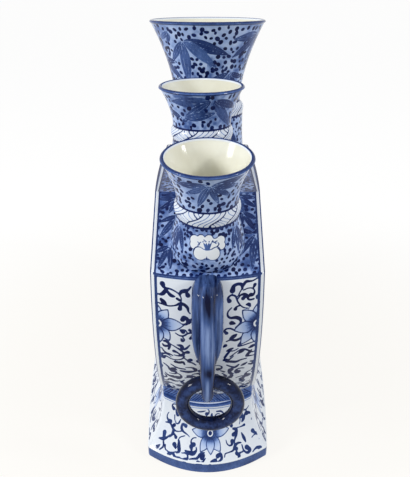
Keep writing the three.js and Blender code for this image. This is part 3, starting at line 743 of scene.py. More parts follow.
RIGHT_SCROLL = (
    ((18.2, 127, 4.8), (19.2, 130.6, 3.2), (22.5, 131.8, 2.8), (25, 130.8, 3), (25.5, 127.8, 2)),
    ((25.6, 129.5, 2.4), (28, 132.8, 2.8), (31, 132.8, 2), (33.5, 133, 1.5), (36.5, 134.3, 1.3)),
    ((25, 127.5, 1.3), (23.5, 124.8, 1.2), (22.4, 122.3, 1.2)),
    ((26.3, 126.5, 1.2), (30, 127.6, 1.2), (33.4, 126.8, 1.3), (34.8, 124, 1.6), (33.6, 121.8, 2.6),
     (31.8, 122, 3.8)), ((34.8, 129.6, 3.2), (33.8, 127.3, 1.4)), ((36.8, 120, 2.8), (36.6, 118, 1.4)),
    ((22.7, 120.6, 1.3), (24.2, 122.8, 1.7), (27, 123.2, 2.8), (29.3, 121.5, 2.8), (30, 119, 2),
     (31.6, 118, 1.8), (34.2, 118.2, 2)), ((26.2, 120, 3.6), (28.2, 121.5, 2)),
    ((16, 119, 4), (15, 121.3, 2.2), (16.6, 123.3, 1.8), (18.8, 123.4, 1.8), (20.8, 122, 1.8),
     (22, 118.5, 1.6), (24, 115, 1.4), (27, 112.3, 1.3), (31, 111, 1.1)),
    ((28.6, 114.4, 1.3), (30.6, 114.5, 3.4), (31.8, 112.5, 1.6)),
    ((20.6, 112, 3.4), (21.6, 113.8, 1.8), (23.8, 114.4, 1.3)),
    ((17.8, 113.4, 1.3), (15.2, 110.5, 1.5), (15, 107, 2), (17.2, 104.8, 2.4), (21, 104.8, 3.4),
     (24, 103.2, 3.4), (25, 100.3, 2.2), (23.4, 98, 1.4), (21, 95.8, 1.2)),
    ((18, 100.3, 4.4), (20.4, 99.4, 2)),
    ((14.3, 91.3, 3.4), (12.6, 93.6, 2.2), (14.2, 95.4, 1.8), (17, 95.4, 1.9), (19.4, 94, 1.8),
     (21, 92.3, 1.2)),
    ((14.3, 83.2, 1.4), (17.5, 84.2, 1.8), (21.5, 83.4, 3), (25, 84.6, 2.6), (27, 87.3, 1.6),
     (28, 90, 1.2)), ((17.6, 85.6, 2.8), (19.8, 87.4, 4.4), (22, 89, 1.8)),
    ((30, 85.8, 2), (27.5, 82, 3.6), (25.2, 79, 3.4), (24, 76.8, 2.4), (27, 76.6, 1.8), (32, 77.4, 1.6),
     (38, 78.3, 1.2)), ((13.6, 79, 3.8), (12.4, 77.6, 1.6)),
    ((32.6, 72.6, 2), (35, 73.6, 4), (37.3, 74.6, 1.6)),
    ((15.2, 73, 2.2), (17.3, 74.3, 3.2), (19.6, 75.3, 1.8)),
    ((13.5, 66, 2.6), (15.6, 70, 2.6), (17.6, 72.3, 1.8), (20.4, 72.3, 1.5), (23.8, 74, 1.2)),
    ((17.8, 65.8, 1.8), (20, 68, 1.5), (23, 70.6, 1.4), (26, 72.4, 1.8), (29, 72, 2), (32, 69.5, 2),
     (35, 66.8, 1.8), (38.5, 66.5, 1.4)), ((24, 68.4, 1.8), (26.4, 70, 3.8), (28.4, 70.6, 1.6)),
    ((34.5, 69.3, 1.6), (32.8, 66.5, 3.6), (31, 63.5, 3), (33.5, 62.5, 2), (37, 62, 1.4)),
    ((15, 60.5, 2.8), (18.5, 59.8, 3.4), (22.5, 58.6, 3.4), (26.5, 60, 2.2), (31, 60.2, 1.6)),
    ((15.2, 56, 1.6), (18.8, 53, 2.2), (22, 51.4, 3.4), (24.8, 54, 2.2)),
    ((10.5, 49, 1.6), (13.5, 46.8, 2.2)), ((27.3, 52, 2), (29.4, 53.2, 3.6), (31.6, 54.6, 1.6)),
    ((33, 52, 1.8), (36, 50.5, 3), (37, 53.6, 3), (34.4, 55, 1.8)),
)
FOOT_SCROLL = (
    ((-51, 49.5, 1.4), (-46, 53, 2.6), (-41, 52, 3.6), (-39.6, 48.5, 3.2), (-43, 46.5, 4.2)),
    ((-39.5, 47.5, 1.6), (-38.6, 43, 1.4), (-35.5, 40, 1.4), (-33, 42, 2.4), (-32, 45, 1.4)),
    ((-48, 37.5, 1.6), (-43, 38.2, 2.2), (-38.5, 34.5, 2.6), (-34, 33.3, 1.5), (-28, 35, 1.3)),
    ((-38, 38, 4.2), (-40, 36, 2)),
    ((-25, 40.5, 4.6), (-29, 41.5, 2.4), (-29.4, 37.5, 3.6), (-27, 35, 2.4), (-22, 33, 1.4),
     (-19.5, 31.5, 1.2)), ((-38.3, 34, 2.2), (-37.6, 30.5, 3.6), (-39.5, 26.5, 1.6)),
    ((-33.5, 28, 3.8), (-36, 30.5, 1.8)), ((-46, 28.5, 4.8), (-45, 24, 3)),
    ((-49, 21.5, 1.6), (-45.5, 22.5, 3.8), (-42.5, 24.5, 2.6), (-40, 28, 1.4)),
    ((-44, 20.5, 2), (-42.5, 16.5, 1.8), (-44.5, 12.8, 1.6)), ((-47.5, 13.8, 4), (-46, 16.5, 1.6)),
    ((-33.2, 21.8, 4.8), (-31, 19, 2)),
    ((-29.5, 25.5, 2.6), (-28.5, 21.5, 4), (-27.2, 17.6, 3.4), (-29, 15.6, 1.8)),
    ((-41.5, 18.5, 1.8), (-39.5, 15, 1.4), (-34.5, 14.2, 1.4), (-30, 16, 1.6)),
    ((-30.5, 26, 1.4), (-29, 29.3, 1.4), (-24.5, 31.5, 1.2)),
    ((-35.5, 12.3, 4), (-32.5, 14.2, 2.6), (-29.5, 11.8, 2.6), (-26, 12.4, 1.6), (-22, 11.8, 1.2)),
    ((-16.5, 23.6, 4.8), (-15.5, 20.5, 2)),
    ((-22, 19.4, 1.4), (-18.5, 18.4, 3.4), (-14, 18, 4.6), (-11, 20.8, 2.2), (-11.5, 23.5, 1.4)),
    ((-16.5, 13, 1.4), (-13, 13.8, 2), (-9.6, 14.6, 2.6), (-7, 18, 3), (-3, 19.6, 1.4)),
    ((-5, 15.2, 4.8), (-3, 17.6, 2)),
    ((9.6, 16.4, 4.6), (12.4, 17.6, 3.4), (13, 13.8, 2.8), (9.6, 11.5, 1.8)),
    ((15.8, 14.5, 1.2), (17, 17.4, 1.4), (21.5, 18, 1.4), (25, 18.8, 2.2), (27.5, 22.2, 3),
     (31, 23.6, 2.4), (34, 23, 1.6)), ((28, 19.4, 4.4), (26, 21, 2)),
    ((27.4, 15.6, 3.8), (29.2, 13, 3.2), (27.6, 11, 1.8)), ((29.6, 15, 2), (34, 15.4, 1.3)),
    ((38, 17.6, 5), (40, 14.5, 3.2), (37, 13, 2.6), (34.4, 16, 1.8), (34.2, 21, 1.5)),
    ((37, 31, 1.6), (38, 26.5, 3.6), (38.6, 22.5, 1.8)),
    ((29, 37, 2.6), (32.2, 35.5, 3.8), (31, 31, 3.4), (28.4, 27, 1.8), (27.4, 22.8, 1.3)),
    ((28, 31.8, 4.2), (30, 33.5, 2)),
    ((51, 41, 1.6), (48.5, 38, 3.4), (46, 35, 4.4), (43.6, 31, 3.8), (45.2, 27.5, 2.4),
     (45, 22.5, 1.8)), ((47.5, 49.5, 1.6), (45, 46.5, 2.6), (42.4, 42.8, 4.2), (40, 40.5, 1.6)),
    ((42, 37, 3), (38, 36.6, 1.4), (33, 36.8, 1.2)),
    ((49, 33.5, 1.6), (51, 29.5, 3.2), (50, 25, 2.2), (48, 22.4, 3), (49.4, 17.8, 2.4),
     (46.4, 14, 1.6)), ((-12, 56.5, 1.4), (-7, 57, 2), (-2.5, 58, 1.2)),
    ((11, 57, 1.8), (16.5, 56.6, 2.4), (20, 53.5, 1.6)), ((5, 52, 4.2), (5.4, 55, 1.8)),
)

# Half flowers on an end panel, cut by its frame: place, then petals as in lotus
END_LOTUSES = (
    ((-38.6, 96.4), ((88, 14.5, 4.6, 0.05), (56, 13.0, 4.2, 0), (-58, 14.5, 4.8, 0), (-88, 17, 4.6, 0),
                     (3, 17.5, 5.6, 0.04))),
    ((38.6, 96.3), ((92, 15.5, 4.8, -0.05), (132, 15.5, 4.6, 0), (-128, 19, 5.0, 0.05), (-92, 17, 4.8, 0),
                    (191, 15.5, 5.4, -0.04))),
)
FOOT_LOTUS = ((96, 9, 3.6, 0), (-122, 16, 4.8, 0), (-60, 16, 4.8, 0), (-90, 15.5, 4.2, 0),
              (176, 17.5, 4.6, -0.04), (4, 18.5, 4.6, 0.04))

# Flowers on a broad face: across from its middle and up, then the pairs that a stem joins
FACE_LOTUSES = ((0, 122), (-58, 96), (58, 96), (-98, 64), (98, 64), (0, 66), (-50, 36), (50, 36))
FACE_VINES = ((0, 1), (2, 0), (1, 3), (4, 2), (1, 5), (5, 2), (3, 6), (7, 4), (6, 5), (5, 7))


def draw_strokes(drawing, marks, at, flip=1, allowed=None):
    """Scroll strokes about a place, mirrored by flip."""
    for mark in marks:
        mark = np.array(mark, float)
        points = mark[:, :2] * [flip, 1]
        if allowed is not None and not allowed(points + at):
            continue
        drawing.stroke(at, points, mark[:, 2] * 0.9 - 0.1, tone=drawing.loaded())


TENDRILS = (((0, 0, 4.4), (1.4, 2.4, 2.6), (3.8, 3.6, 1.6), (6.6, 2.8, 1.1), (8.8, 0.6, 0.9)),
            ((-1, 0, 3.8), (1.5, 1.2, 2.4), (4.4, 0.2, 1.3), (6.8, -1.6, 0.9)),
            ((0, 0, 4.2), (-2.2, 1.8, 2.0), (-1.6, 4.4, 1.4), (1.2, 5.6, 1.2), (4.2, 5.0, 0.9)))
EDGE_ROOM = 1.5  # the least distance of a tendril from a drawing's edge
TAKEN = 0.05  # a field above this holds a mark already
WASHED = 0.06  # a ground above this is a petal's wash


def tendrils(drawing, low, high, spacing, squash=1.0, allowed=None, weight=1.0):
    """Short comma strokes that fill the bare places of a scroll. squash flattens them upwards."""
    for v in np.arange(low[1], high[1], spacing * squash):
        for u in np.arange(low[0], high[0], spacing):
            at = np.array([u, v]) + drawing.rng.uniform(-0.25, 0.25, 2) * spacing * [1, squash]
            mark = np.array(TENDRILS[drawing.rng.integers(len(TENDRILS))])
            mark[:, :2] = turned(mark[:, :2] * [drawing.rng.choice([-1, 1]), 1],
                                 drawing.rng.choice([0, 90, 180, 270]) + drawing.rng.uniform(-25, 25))
            mark[:, 1] *= squash
            mark[:, 2] *= mix(squash, 1, 0.5)
            ends = mark[:, :2] + at
            if ends.min() < EDGE_ROOM or ends[:, 1].max() > drawing.height - EDGE_ROOM:
                continue
            if allowed and not allowed(ends):
                continue
            marks = ("dark", "white", "pale")
            if max(drawing.sample(name, *end) for name in marks for end in ends) > TAKEN:
                continue
            if max(drawing.sample("+ground", *end) for end in ends) > WASHED:
                continue
            drawing.stroke(tuple(at), mark[:, :2], mark[:, 2] * weight, tone=drawing.loaded())


FLOWER_REACH = 18
STEM_SWAY = 6


def vine(drawing, first, last):
    """A wavy stem between two flowers, with two curls on each side."""
    first, last = np.array(first, float), np.array(last, float)
    apart = np.linalg.norm(last - first)
    along = (last - first) / apart
    start, reach = first + along * FLOWER_REACH, apart - 2 * FLOWER_REACH
    t = np.linspace(0, 1, 9)
    stem = np.outer(t * reach, along) + np.outer(STEM_SWAY * np.sin(2 * math.pi * t), [-along[1], along[0]])
    drawing.stroke(tuple(start), stem, 1.5, tone=0.9)
    curl = np.array(TENDRILS[0])
    heading = math.degrees(math.atan2(along[1], along[0]))
    for k, hand in ((2, -1), (4, 1), (6, 1), (5, -1)):
        points = turned((curl[:, :2] - curl[-1, :2]) * [-1, hand], heading + 55 * hand)
        drawing.stroke(tuple(start + stem[k]), points, curl[:, 2], tone=0.9)


def leaf_outline(size, half, bend, count=13, belly=0.85):
    """A pointed leaf along +X with its root at the origin, which bends sideways."""
    t = np.linspace(0, 1, count)
    width = half * np.sin(np.pi * t ** belly) ** 0.9
    x, y = size * t, bend * size * t ** 2
    return np.concatenate([np.stack([x, y + width], 1), np.stack([x, y - width], 1)[-2:0:-1]])


def turned(points, degrees, move=(0, 0)):
    c, s = math.cos(math.radians(degrees)), math.sin(math.radians(degrees))
    return np.asarray(points, float) @ np.array([[c, s], [-s, c]]) + move


def leaf(drawing, at, degrees, size, half, bend, tone, root):
    """A bamboo leaf in one dark wash, with veins and an edge scratched out of it."""
    move = turned([(root, 0)], degrees)[0]
    outline = turned(leaf_outline(size, half, bend), degrees, move)
    drawing.shape(at, outline, "leaf", tone, cut=("dark", "pale"))
    drawing.shape(at, outline, "pale", ring=0.34)
    t = np.linspace(0.08, 0.86, 6)
    for offset in (-0.34, 0.34) if half > 2.4 else (0,):
        y = bend * size * t ** 2 + offset * half * np.sin(np.pi * t ** 0.85)
        drawing.stroke(at, turned(np.stack([size * t, y], 1), degrees, move), 0.34, field="pale")


def tuft(drawing, at, leaves, tone, half):
    """Leaves of chosen direction and length from one place. half is a half width per mm of length."""
    for degrees, size in leaves:
        bend = drawing.rng.uniform(-0.12, 0.12)
        varied = tone + drawing.rng.uniform(-0.05, 0.10)
        leaf(drawing, at, degrees, size, max(size * half, 2.2), bend, varied, 0.8)


def spray(drawing, at, degrees, size, spread, half=0.12):
    """Four bamboo leaves fanned from one place."""
    for k in range(4):
        lean = (k - 1.5) * spread + drawing.rng.uniform(-6, 6)
        reach = size * (1 - 0.10 * abs(k - 1.5) + drawing.rng.uniform(-0.08, 0.08))
        tone = 0.68 + drawing.rng.uniform(-0.04, 0.05)
        leaf(drawing, at, degrees + lean, reach, size * half, -0.0022 * lean, tone, 1.0)


def dots(drawing, spacing, radius, low=(0, 0), high=None):
    """A ground of brush dots in uneven rows, left out over leaves and flowers."""
    high = high or (drawing.width, drawing.height)
    columns = max(3, round((high[0] - low[0]) / spacing))
    rows = max(1, round((high[1] - low[1]) / (spacing * 0.86)))
    for j in range(rows):
        for i in range(columns):
            u = low[0] + (i + 0.5 * (j % 2)) * (high[0] - low[0]) / columns
            v = low[1] + (j + 0.5) * (high[1] - low[1]) / rows
            u, v = np.array([u, v]) + drawing.rng.uniform(-0.30, 0.30, 2) * spacing
            size = radius * drawing.rng.uniform(0.80, 1.25)
            slant, turn = drawing.rng.uniform(1.0, 1.6), drawing.rng.uniform(0, math.pi)
            tone = drawing.rng.uniform(0.84, 1.0)
            covered = max(drawing.sample(name, u, v) for name in ("leaf", "white", "dark")) > 0.15
            if 0 < v < drawing.height and not covered:
                drawing.dot((u, v), size, slant, turn, tone=tone)


def petal(drawing, at, degrees, size, half, root, bend):
    """An outlined lotus petal: heaped cobalt at its root that fades to bare porcelain at its point."""
    move = turned([(root, 0)], degrees)[0]
    outline = turned(leaf_outline(size, half, bend, 15, 0.80), degrees, move)
    axis = turned([(1, 0)], degrees)[0]

    def wash(dx, dy):
        along = ((dx - move[0]) * axis[0] + (dy - move[1]) * axis[1]) / size
        return 0.11 + 0.74 * np.clip(1 - along / 0.72, 0, 1) ** 1.2
    drawing.shape(at, outline, None, wash, cut=("dark",), tone_name="ground")
    drawing.shape(at, outline, "dark", 0.78, ring=0.95)
    t = np.linspace(0.05, 0.45, 4)
    for offset in (-0.3, 0.3):
        y = offset * half * np.sin(np.pi * t ** 0.8) + bend * size * t ** 2
        vein = turned(np.stack([size * t, y], 1), degrees, move)
        drawing.stroke(at, vein, (0.7, 0.6, 0.5, 0.3), tone=0.74)


def lotus(drawing, at, petals, ring=4.6):
    """A lotus seen from above. petals are (direction, length, half width, bend)."""
    for degrees, size, half, bend in petals:
        petal(drawing, at, degrees, size, half, ring * 0.72, bend)
    drawing.dot(at, ring, tone=0.80, cut=("white",))
    drawing.dot(at, ring - 0.8, field="white", cut=("dark",))
    drawing.dot(at, ring * 0.52, tone=0.95)


FULL_LOTUS = [(45, 14, 4.6, 0), (135, 14, 4.6, 0), (-45, 15, 5.0, 0), (-135, 15, 5.0, 0),
              (90, 15.5, 4.8, 0.05), (-90, 16, 4.8, 0), (0, 18, 5.6, 0.04), (180, 18, 5.6, -0.04)]


# A prunus blossom: its rounded lobes as (across, up, radius), then the lines that part its petals
PRUNUS_LOBES = np.array([
    (-9.3, 3.6, 3.9), (-10.0, 0.0, 3.3), (-4.6, 5.7, 2.8), (1.0, 5.6, 3.0), (9.6, 3.3, 3.7),
    (10.6, -0.8, 3.0), (0.5, 1.0, 6.2), (-5.5, -6.3, 5.0), (4.2, -6.3, 5.1), (-0.8, -5.2, 4.8),
    (-5.6, 1.6, 4.0), (5.8, 1.6, 4.0)])
PRUNUS_LINES = (
    ((-10.2, -3.6), (-8.6, -1.5), (-5.4, -0.9), (-2.4, -2.6), (0.2, -3.0), (2.8, -2.5), (5.4, -1.2),
     (8.2, -1.5), (9.4, -3.4)),
    ((-7.4, 3.0), (-5.8, 1.2), (-7.2, 0.2)), ((-2.6, 4.8), (-1.2, 3.4)),
    ((3.8, 4.4), (4.6, 2.8), (7.2, 3.6)), ((7.2, -0.6), (8.6, 0.8), (7.6, 2.2)),
    ((-0.5, -11), (-0.5, -8.4)),
)


def prunus(drawing, at, scale):
    """A white prunus blossom: a double lower petal, two at the left, one above and one at the right."""
    bounds = np.array([(-14, -12), (14, 12)]) * scale

    def edge(beyond):
        """The distance from an edge that lies beyond the lobes."""
        def distance(dx, dy):
            return np.min([np.hypot(dx - x, dy - y) - r for x, y, r in PRUNUS_LOBES * scale], 0) - beyond
        return distance
    drawing.put(at, bounds, edge(0.5), "dark", 0.86, cut=("leaf", "pale"))
    drawing.put(at, bounds, edge(-0.15), "white", cut=("dark",))
    for line in PRUNUS_LINES:
        drawing.stroke(at, np.array(line) * scale, 0.75, tone=0.82)
    for lean in (-1.9, -0.6, 0.7, 1.9):
        stamen = np.array([(lean * 0.5, -1.8), (lean, 0.4), (lean * 1.5, 2.4)]) * scale
        drawing.stroke(at, stamen, (1.5, 1.3, 0.6), tone=0.56)
    for k in range(8):
        turn = math.radians(15 + 21.4 * k)
        tip = (at[0] + 6.4 * scale * math.cos(turn), at[1] + scale * (1.2 + 2.4 * math.sin(turn)))
        drawing.dot(tip, 0.55 * scale, tone=0.74)


LAPPET_PERIOD = 30.0
# Lines on a bead: which way they lean, where the first ones start, and the lines of one group, all as
# shares of a lappet's period
BEAD_LINES = ((-1, 1.09, (0, 0.11, 0.22, 0.33, 0.44, 0.6, 0.8)), (1, 0.47, (0, 0.14, 0.27, 0.40, 0.53)))


def rope(drawing, top):
    """The bead under a mouth: fine lines that lean back, and over them white lappets that lean forwards."""
    rows = drawing.y <= top
    bare = 0.03
    drawing.tones["ground"][rows] = bare
    for name in ("leaf", "pale", "dark"):
        drawing.fields[name][rows] = 0
    count = max(3, round(drawing.width / LAPPET_PERIOD))
    step = drawing.width / count
    t = np.linspace(0, 1, 7)
    sweep = 0.40 * step * (t - 0.13 * np.sin(2 * math.pi * t))
    for lean, first, places in BEAD_LINES:
        edges = [np.stack([lean * sweep + place * step, top * t], 1) for place in places]
        for k in range(count):
            at = ((k + first) * step, 0)
            if lean > 0:
                lappet = np.concatenate([edges[0], edges[-1][::-1]])
                drawing.shape(at, lappet, None, bare, cut=("dark",), tone_name="ground")
            for place, edge in zip(places, edges):
                outer = place == 0 or (lean > 0 and place == places[-1])
                drawing.stroke(at, edge, 0.9 if outer else 0.6, tone=0.86 if outer else 0.58)


# Pieces

def ring_sections(form, heights, sizes, counts):
    """Level rings of the body or foot, as an array of rows, columns and XYZ."""
    rings = []
    for z in heights:
        half_length, half_depth, side_bow, end_bow = sizes(z)
        ring = softened_ring(half_length, half_depth, side_bow, end_bow, form.edge, counts)
        rings.append(np.column_stack([ring, np.full(len(ring), z)]))
    return np.array(rings)


def ring_places(half_length, half_depth, edge, counts):
    """Each column's place around a ring and its distance from the nearest corner, then the ring's length.

    All are measured flat, and the distance is negative within a corner.
    """
    ends, corners, sides = counts
    runs = [(ends, 2 * (half_depth - edge)), (corners, 1.5 * edge), (sides, 2 * (half_length - edge)),
            (corners, 1.5 * edge)] * 2
    places, gaps, start = [], [], 0.0
    for index, (count, size) in enumerate(runs):
        local = np.arange(count) * size / count
        places.append(start + local)
        gaps.append(np.minimum(local, size - local) * (1 if index % 2 == 0 else -1))
        start += size
    return np.concatenate(places), np.concatenate(gaps), start


def slant_lengths(points):
    """Running length along rows of points."""
    return np.concatenate([[0], np.cumsum(np.linalg.norm(np.diff(points, axis=0), axis=1))])


def build_foot(form):
    ratio = 5
    flat = np.linspace(0, form.foot_rim, 13)
    flare = np.linspace(form.foot_rim, form.foot_height, 68)[1:]
    heights = np.concatenate([flat, flare])
    counts = (ratio * 30, ratio, ratio * 62)
    outer = ring_sections(form, heights, form.foot_sizes, counts)

    def inner_sizes(z):
        half_length, half_depth, side_bow, end_bow = form.foot_sizes(z)
        return half_length - form.foot_wall, half_depth - form.foot_wall, side_bow, end_bow
    inner = ring_sections(form, np.linspace(0, form.foot_height, 14), inner_sizes,
                          tuple(n // ratio for n in counts))
    places, gap, around = ring_places(form.foot_half_length, form.foot_half_depth, form.edge, counts)
    up = slant_lengths(np.array([[form.foot_sizes(z)[0] + form.foot_sizes(z)[3], z] for z in heights]))
    top, rim = up[-1], up[len(flat) - 1]
    drawing = Drawing(around, top, 0.02, 11, wraps=True)
    # One flower on each end and three on each long side, with the scroll about it
    half_end, long_side = form.foot_half_depth - form.edge, 2 * (form.foot_half_length - form.edge)
    side_start = 2 * half_end + 1.5 * form.edge
    middles = [half_end] + [side_start + long_side * (k + 0.5) / 3 for k in range(3)]
    for k, middle in enumerate(middles + [around / 2 + m for m in middles]):
        reach = half_end - 1.5 if k % 4 == 0 else long_side / 6 + 1
        flip = 1 if k % 2 == 0 else -1
        draw_strokes(drawing, FOOT_SCROLL, (middle, 0), flip,
                     lambda p: np.abs(p[:, 0] - middle).max() < reach and p[:, 1].max() < top - 1)
        lotus(drawing, (middle + 3 * flip, 36.2), FOOT_LOTUS, 4.0)
    tendrils(drawing, (2, rim + 3), (drawing.width - 2, top - 4), 7.0)
    v, u = np.meshgrid(up, places, indexing="ij")
    paint = drawing.paint(u, v)
    # Corners are bare above the rim
    bare = np.clip(0.5 - (gap - 0.2) / (2 * SOFT), 0, 1) * (v > rim + 1)
    paint["dark"] = np.minimum(paint["dark"], 1 - bare)
    band(paint, v, top - 3.4, top + 2)
    band(paint, v, top - 2.8, top - 2.0, 0.66)
    paint["+dark"] = paint["+dark"] * 0.82
    band(paint, v, top - 0.9, top + 2, 0.50)
    # The rim is washed over, up to a bare line
    wash = v < rim - 0.2
    for name in FIELDS:
        paint[name] = np.where(wash, float(name == "dark"), paint[name])
    paint["+dark"] = np.where(wash, 0.53 + 0.07 * hand_noise(v.shape, 14, 5), paint["+dark"])
    band(paint, v, rim + 0.1, rim + 1.5)
    settle(clay_wall("Foot", outer, inner, paint, True))


# The waist band's hatching: the step between lines in mm, and how many lean the same way
HATCH_STEP = 2.6
HATCH_RUN = 16


def build_collar(form):
    ratio = 5
    counts = (ratio * 23, ratio, ratio * 52)
    base = float(form.half_length(form.bottom))

    def sizes(inset):
        return lambda z: (base - form.collar_recess - inset, form.half_depth - form.collar_recess - inset,
                          form.side_bow, form.waist_bow)
    outer = ring_sections(form, np.linspace(form.foot_height, form.bottom, 17), sizes(0), counts)
    inner = ring_sections(form, np.linspace(form.foot_height, form.bottom, 5), sizes(form.wall),
                          tuple(n // ratio for n in counts))
    places, _, around = ring_places(base, form.half_depth, form.edge, counts)
    drawing = Drawing(around, form.collar_height, 0.50, 21, wraps=True)
    drawing.tones["ground"][:] = 0.45 + 0.12 * hand_noise(drawing.tones["ground"].shape, 20, 8)
    count = round(around / HATCH_STEP)
    for k in range(count):
        lean = 7.5 + drawing.rng.uniform(-0.8, 0.8)
        if (k // HATCH_RUN) % 2:
            lean = -lean
        line = [(0, 1.6), (lean * 0.5, form.collar_height * 0.5), (lean, form.collar_height - 0.8)]
        # A hair off the seam, so that the first line is drawn on both sides of it
        drawing.stroke((k * around / count + 1e-3, 0), line, drawing.rng.uniform(0.75, 1.15),
                       tone=drawing.rng.uniform(0.62, 0.80))
    v = outer[:, :, 2] - form.foot_height
    paint = drawing.paint(np.broadcast_to(places, v.shape), v)
    band(paint, v, -1, 0.6, 0.62)
    band(paint, v, form.collar_height - 1.2, form.collar_height + 1, 0.80)
    settle(clay_wall("Waist_collar", outer, inner, paint, True))


def build_floor(form):
    """The slab that closes the body, set between the walls."""
    clearance = 0.3
    half = form.half_depth - form.wall - clearance
    y, along = np.meshgrid(np.linspace(-half, half, 21), np.linspace(-1, 1, 61), indexing="ij")
    sag = 0.35 * np.cos(along * math.pi / 2) * np.cos(y / form.half_depth * math.pi / 2)

    def level(z):
        return np.stack([(form.end_x(y, z, form.wall) - clearance) * along, y, z - sag], -1)
    slab = clay_wall("Body_floor", level(form.bottom + form.wall), level(form.bottom),
                     blank_paint(y.shape), False)
    settle(slab, ("inside", "inside"))


def body_sizes(form):
    return lambda z: (float(form.half_length(z)), form.half_depth, form.side_bow, float(form.end_bow(z)))


def end_line(form, ratio):
    """Heights up an end panel at even steps of its arc, and how far up each one lies."""
    low, high = (math.asin((z - form.widest_height) / form.end_radius)
                 for z in (form.bottom, form.shoulder))
    count = ratio * round((high - low) * form.end_radius / form.cell / ratio) + 1
    turn = np.linspace(low, high, count)
    return form.widest_height + form.end_radius * np.sin(turn), (turn - low) * form.end_radius


def end_skin(form, side, y, z, inset=0.0):
    """Points of an end of the body, or of a slope over it, inset by the thickness of a wall."""
    return np.stack([form.end_x(y, z, inset), y, z], -1) * [side, side, 1]


def build_end(form, side):
    ratio = 8
    heights, up = end_line(form, ratio)
    half = form.half_depth - form.edge
    across = np.linspace(-half, half, ratio * round(2 * half / form.cell / ratio) + 1)
    z, y = np.meshgrid(heights, across, indexing="ij")
    inner_z, inner_y = z[::ratio, ::ratio], y[::ratio, ::ratio] * (form.half_depth - form.wall) / half
    drawing = Drawing(2 * form.half_depth, up[-1], 0.02, 31 + side)
    draw_strokes(drawing, LEFT_SCROLL + RIGHT_SCROLL, (form.half_depth, 0))
    for centre, petals in END_LOTUSES:
        lotus(drawing, (form.half_depth + centre[0], centre[1]), petals)
    tendrils(drawing, (4, 4), (drawing.width - 4, 50), 4.8, 0.9, weight=1.35)
    tendrils(drawing, (4, 50), (drawing.width - 4, 66), 6.6, 0.9)
    v, edge = np.interp(z, heights, up), half - np.abs(y)
    paint = drawing.paint(y + form.half_depth, v)
    band(paint, v, 0.9, 2.1, 0.76)
    band(paint, up[-1] - v, 1.1, 2.0, 0.62)
    band(paint, edge, 0.9, 3.0, 0.68)
    band(paint, edge, -2, 0.8)
    band(paint, up[-1] - v, -1, 0.7, 0.66)
    settle(clay_wall(f"End_wall_{SIDES[side]}", end_skin(form, side, y, z),
                     end_skin(form, side, inner_y, inner_z, form.wall), paint, False))


def face_border(form, x, z):
    """Distance in from a broad face's outline: its ends and roof edge."""
    sides = form.half_length(z) - np.abs(x)
    fall = (z - form.shoulder) / math.tan(form.slope)
    on_slope = (form.shoulder_half_length - fall - np.abs(x)) * math.sin(form.slope)
    return np.minimum(np.where(z > form.shoulder - 25, np.minimum(sides, on_slope), sides), form.roof - z)


def build_face(form, side):
    """A broad face with the rounded corners at both its ends."""
    ratio, margin = 6, 4
    levels = ratio * round((form.roof - form.bottom) / (form.cell * 1.2) / ratio)
    heights = np.linspace(form.bottom, form.roof, levels + 1)
    span = ratio * round(2 * form.widest / (form.cell * 1.2) / ratio) - 2 * ratio
    ends = 4
    rings = ring_sections(form, heights, body_sizes(form), (ends, ratio, span))
    # Columns run from right to left, so rows x columns face +Y
    outer = rings[:, ends:ends + span + 2 * ratio + 1]
    x, z = outer[:, :, 0], outer[:, :, 2]
    cols = outer.shape[1]
    inner_z = heights[::ratio]
    inner_y = form.half_depth - form.wall
    # The top edge is mitred over the roof
    level_y = np.where(inner_z > form.roof - form.wall + 1, form.half_depth - form.edge, inner_y)
    on_roof = np.clip((inner_z - form.shoulder) / (form.roof - form.shoulder), 0, 1)
    reach = mix(form.end_x(inner_y, inner_z, form.wall), form.end_x(inner_y, inner_z), on_roof)
    line = np.linspace(1, -1, (cols - 1) // ratio + 1)
    inner = np.stack(np.broadcast_arrays(reach[:, None] * line, level_y[:, None], inner_z[:, None]), -1)
    drawing = Drawing(2 * (form.widest + margin), form.roof - form.bottom, 0.02, 51 + side)
    middle = form.widest + margin
    flowers = [(middle + across, up) for across, up in FACE_LOTUSES]
    for flower in flowers:
        lotus(drawing, flower, FULL_LOTUS)
    for first, last in FACE_VINES:
        vine(drawing, flowers[first], flowers[last])
    tendrils(drawing, (3, 3), (drawing.width - 3, drawing.height - 3), 7.6, 1.0,
             lambda ends: face_border(form, ends[:, 0] - middle, ends[:, 1] + form.bottom).min() > 6)
    v = z - form.bottom
    paint = drawing.paint(x * side + middle, v)
    # How far round the softened corner each column lies, from the face's edge
    corner = (np.abs(np.arange(cols) - (cols - 1) / 2) - (cols - 1) / 2 + ratio) * form.edge * 1.5 / ratio
    border = np.where(corner > 0, -corner, face_border(form, x, z))
    band(paint, v, 0.9, 2.1, 0.76)
    band(paint, border, 2.6, 4.2, 0.68)
    band(paint, border, -9, 2.5)
    band(paint, border, -2.2, 0.8, 0.72)
    flip = [side, side, 1]
    word = "back" if side > 0 else "front"
    settle(clay_wall(f"Body_{word}_face", outer * flip, inner * flip, paint, False))


# Roof

def bulb_radius(height):
    """A side finger's bulb at a height above its widest ring."""
    f = SIDE_FINGER
    height = np.asarray(height, float)
    axis = np.where(height <= 0, f["foot_axis"], f["top_axis"])
    ball = f["bulb"] * np.sqrt(np.clip(1 - (height / axis) ** 2, 0.02, 1))
    return np.where(height <= 0, ball, mix(ball, f["root"], (height / f["bulb_rise"]) ** 2))


def stem_radius(height):
    f = MIDDLE_FINGER
    return mix(f["root"], f["skirt"], (1 - np.asarray(height, float) / f["stem_height"]) ** 3)


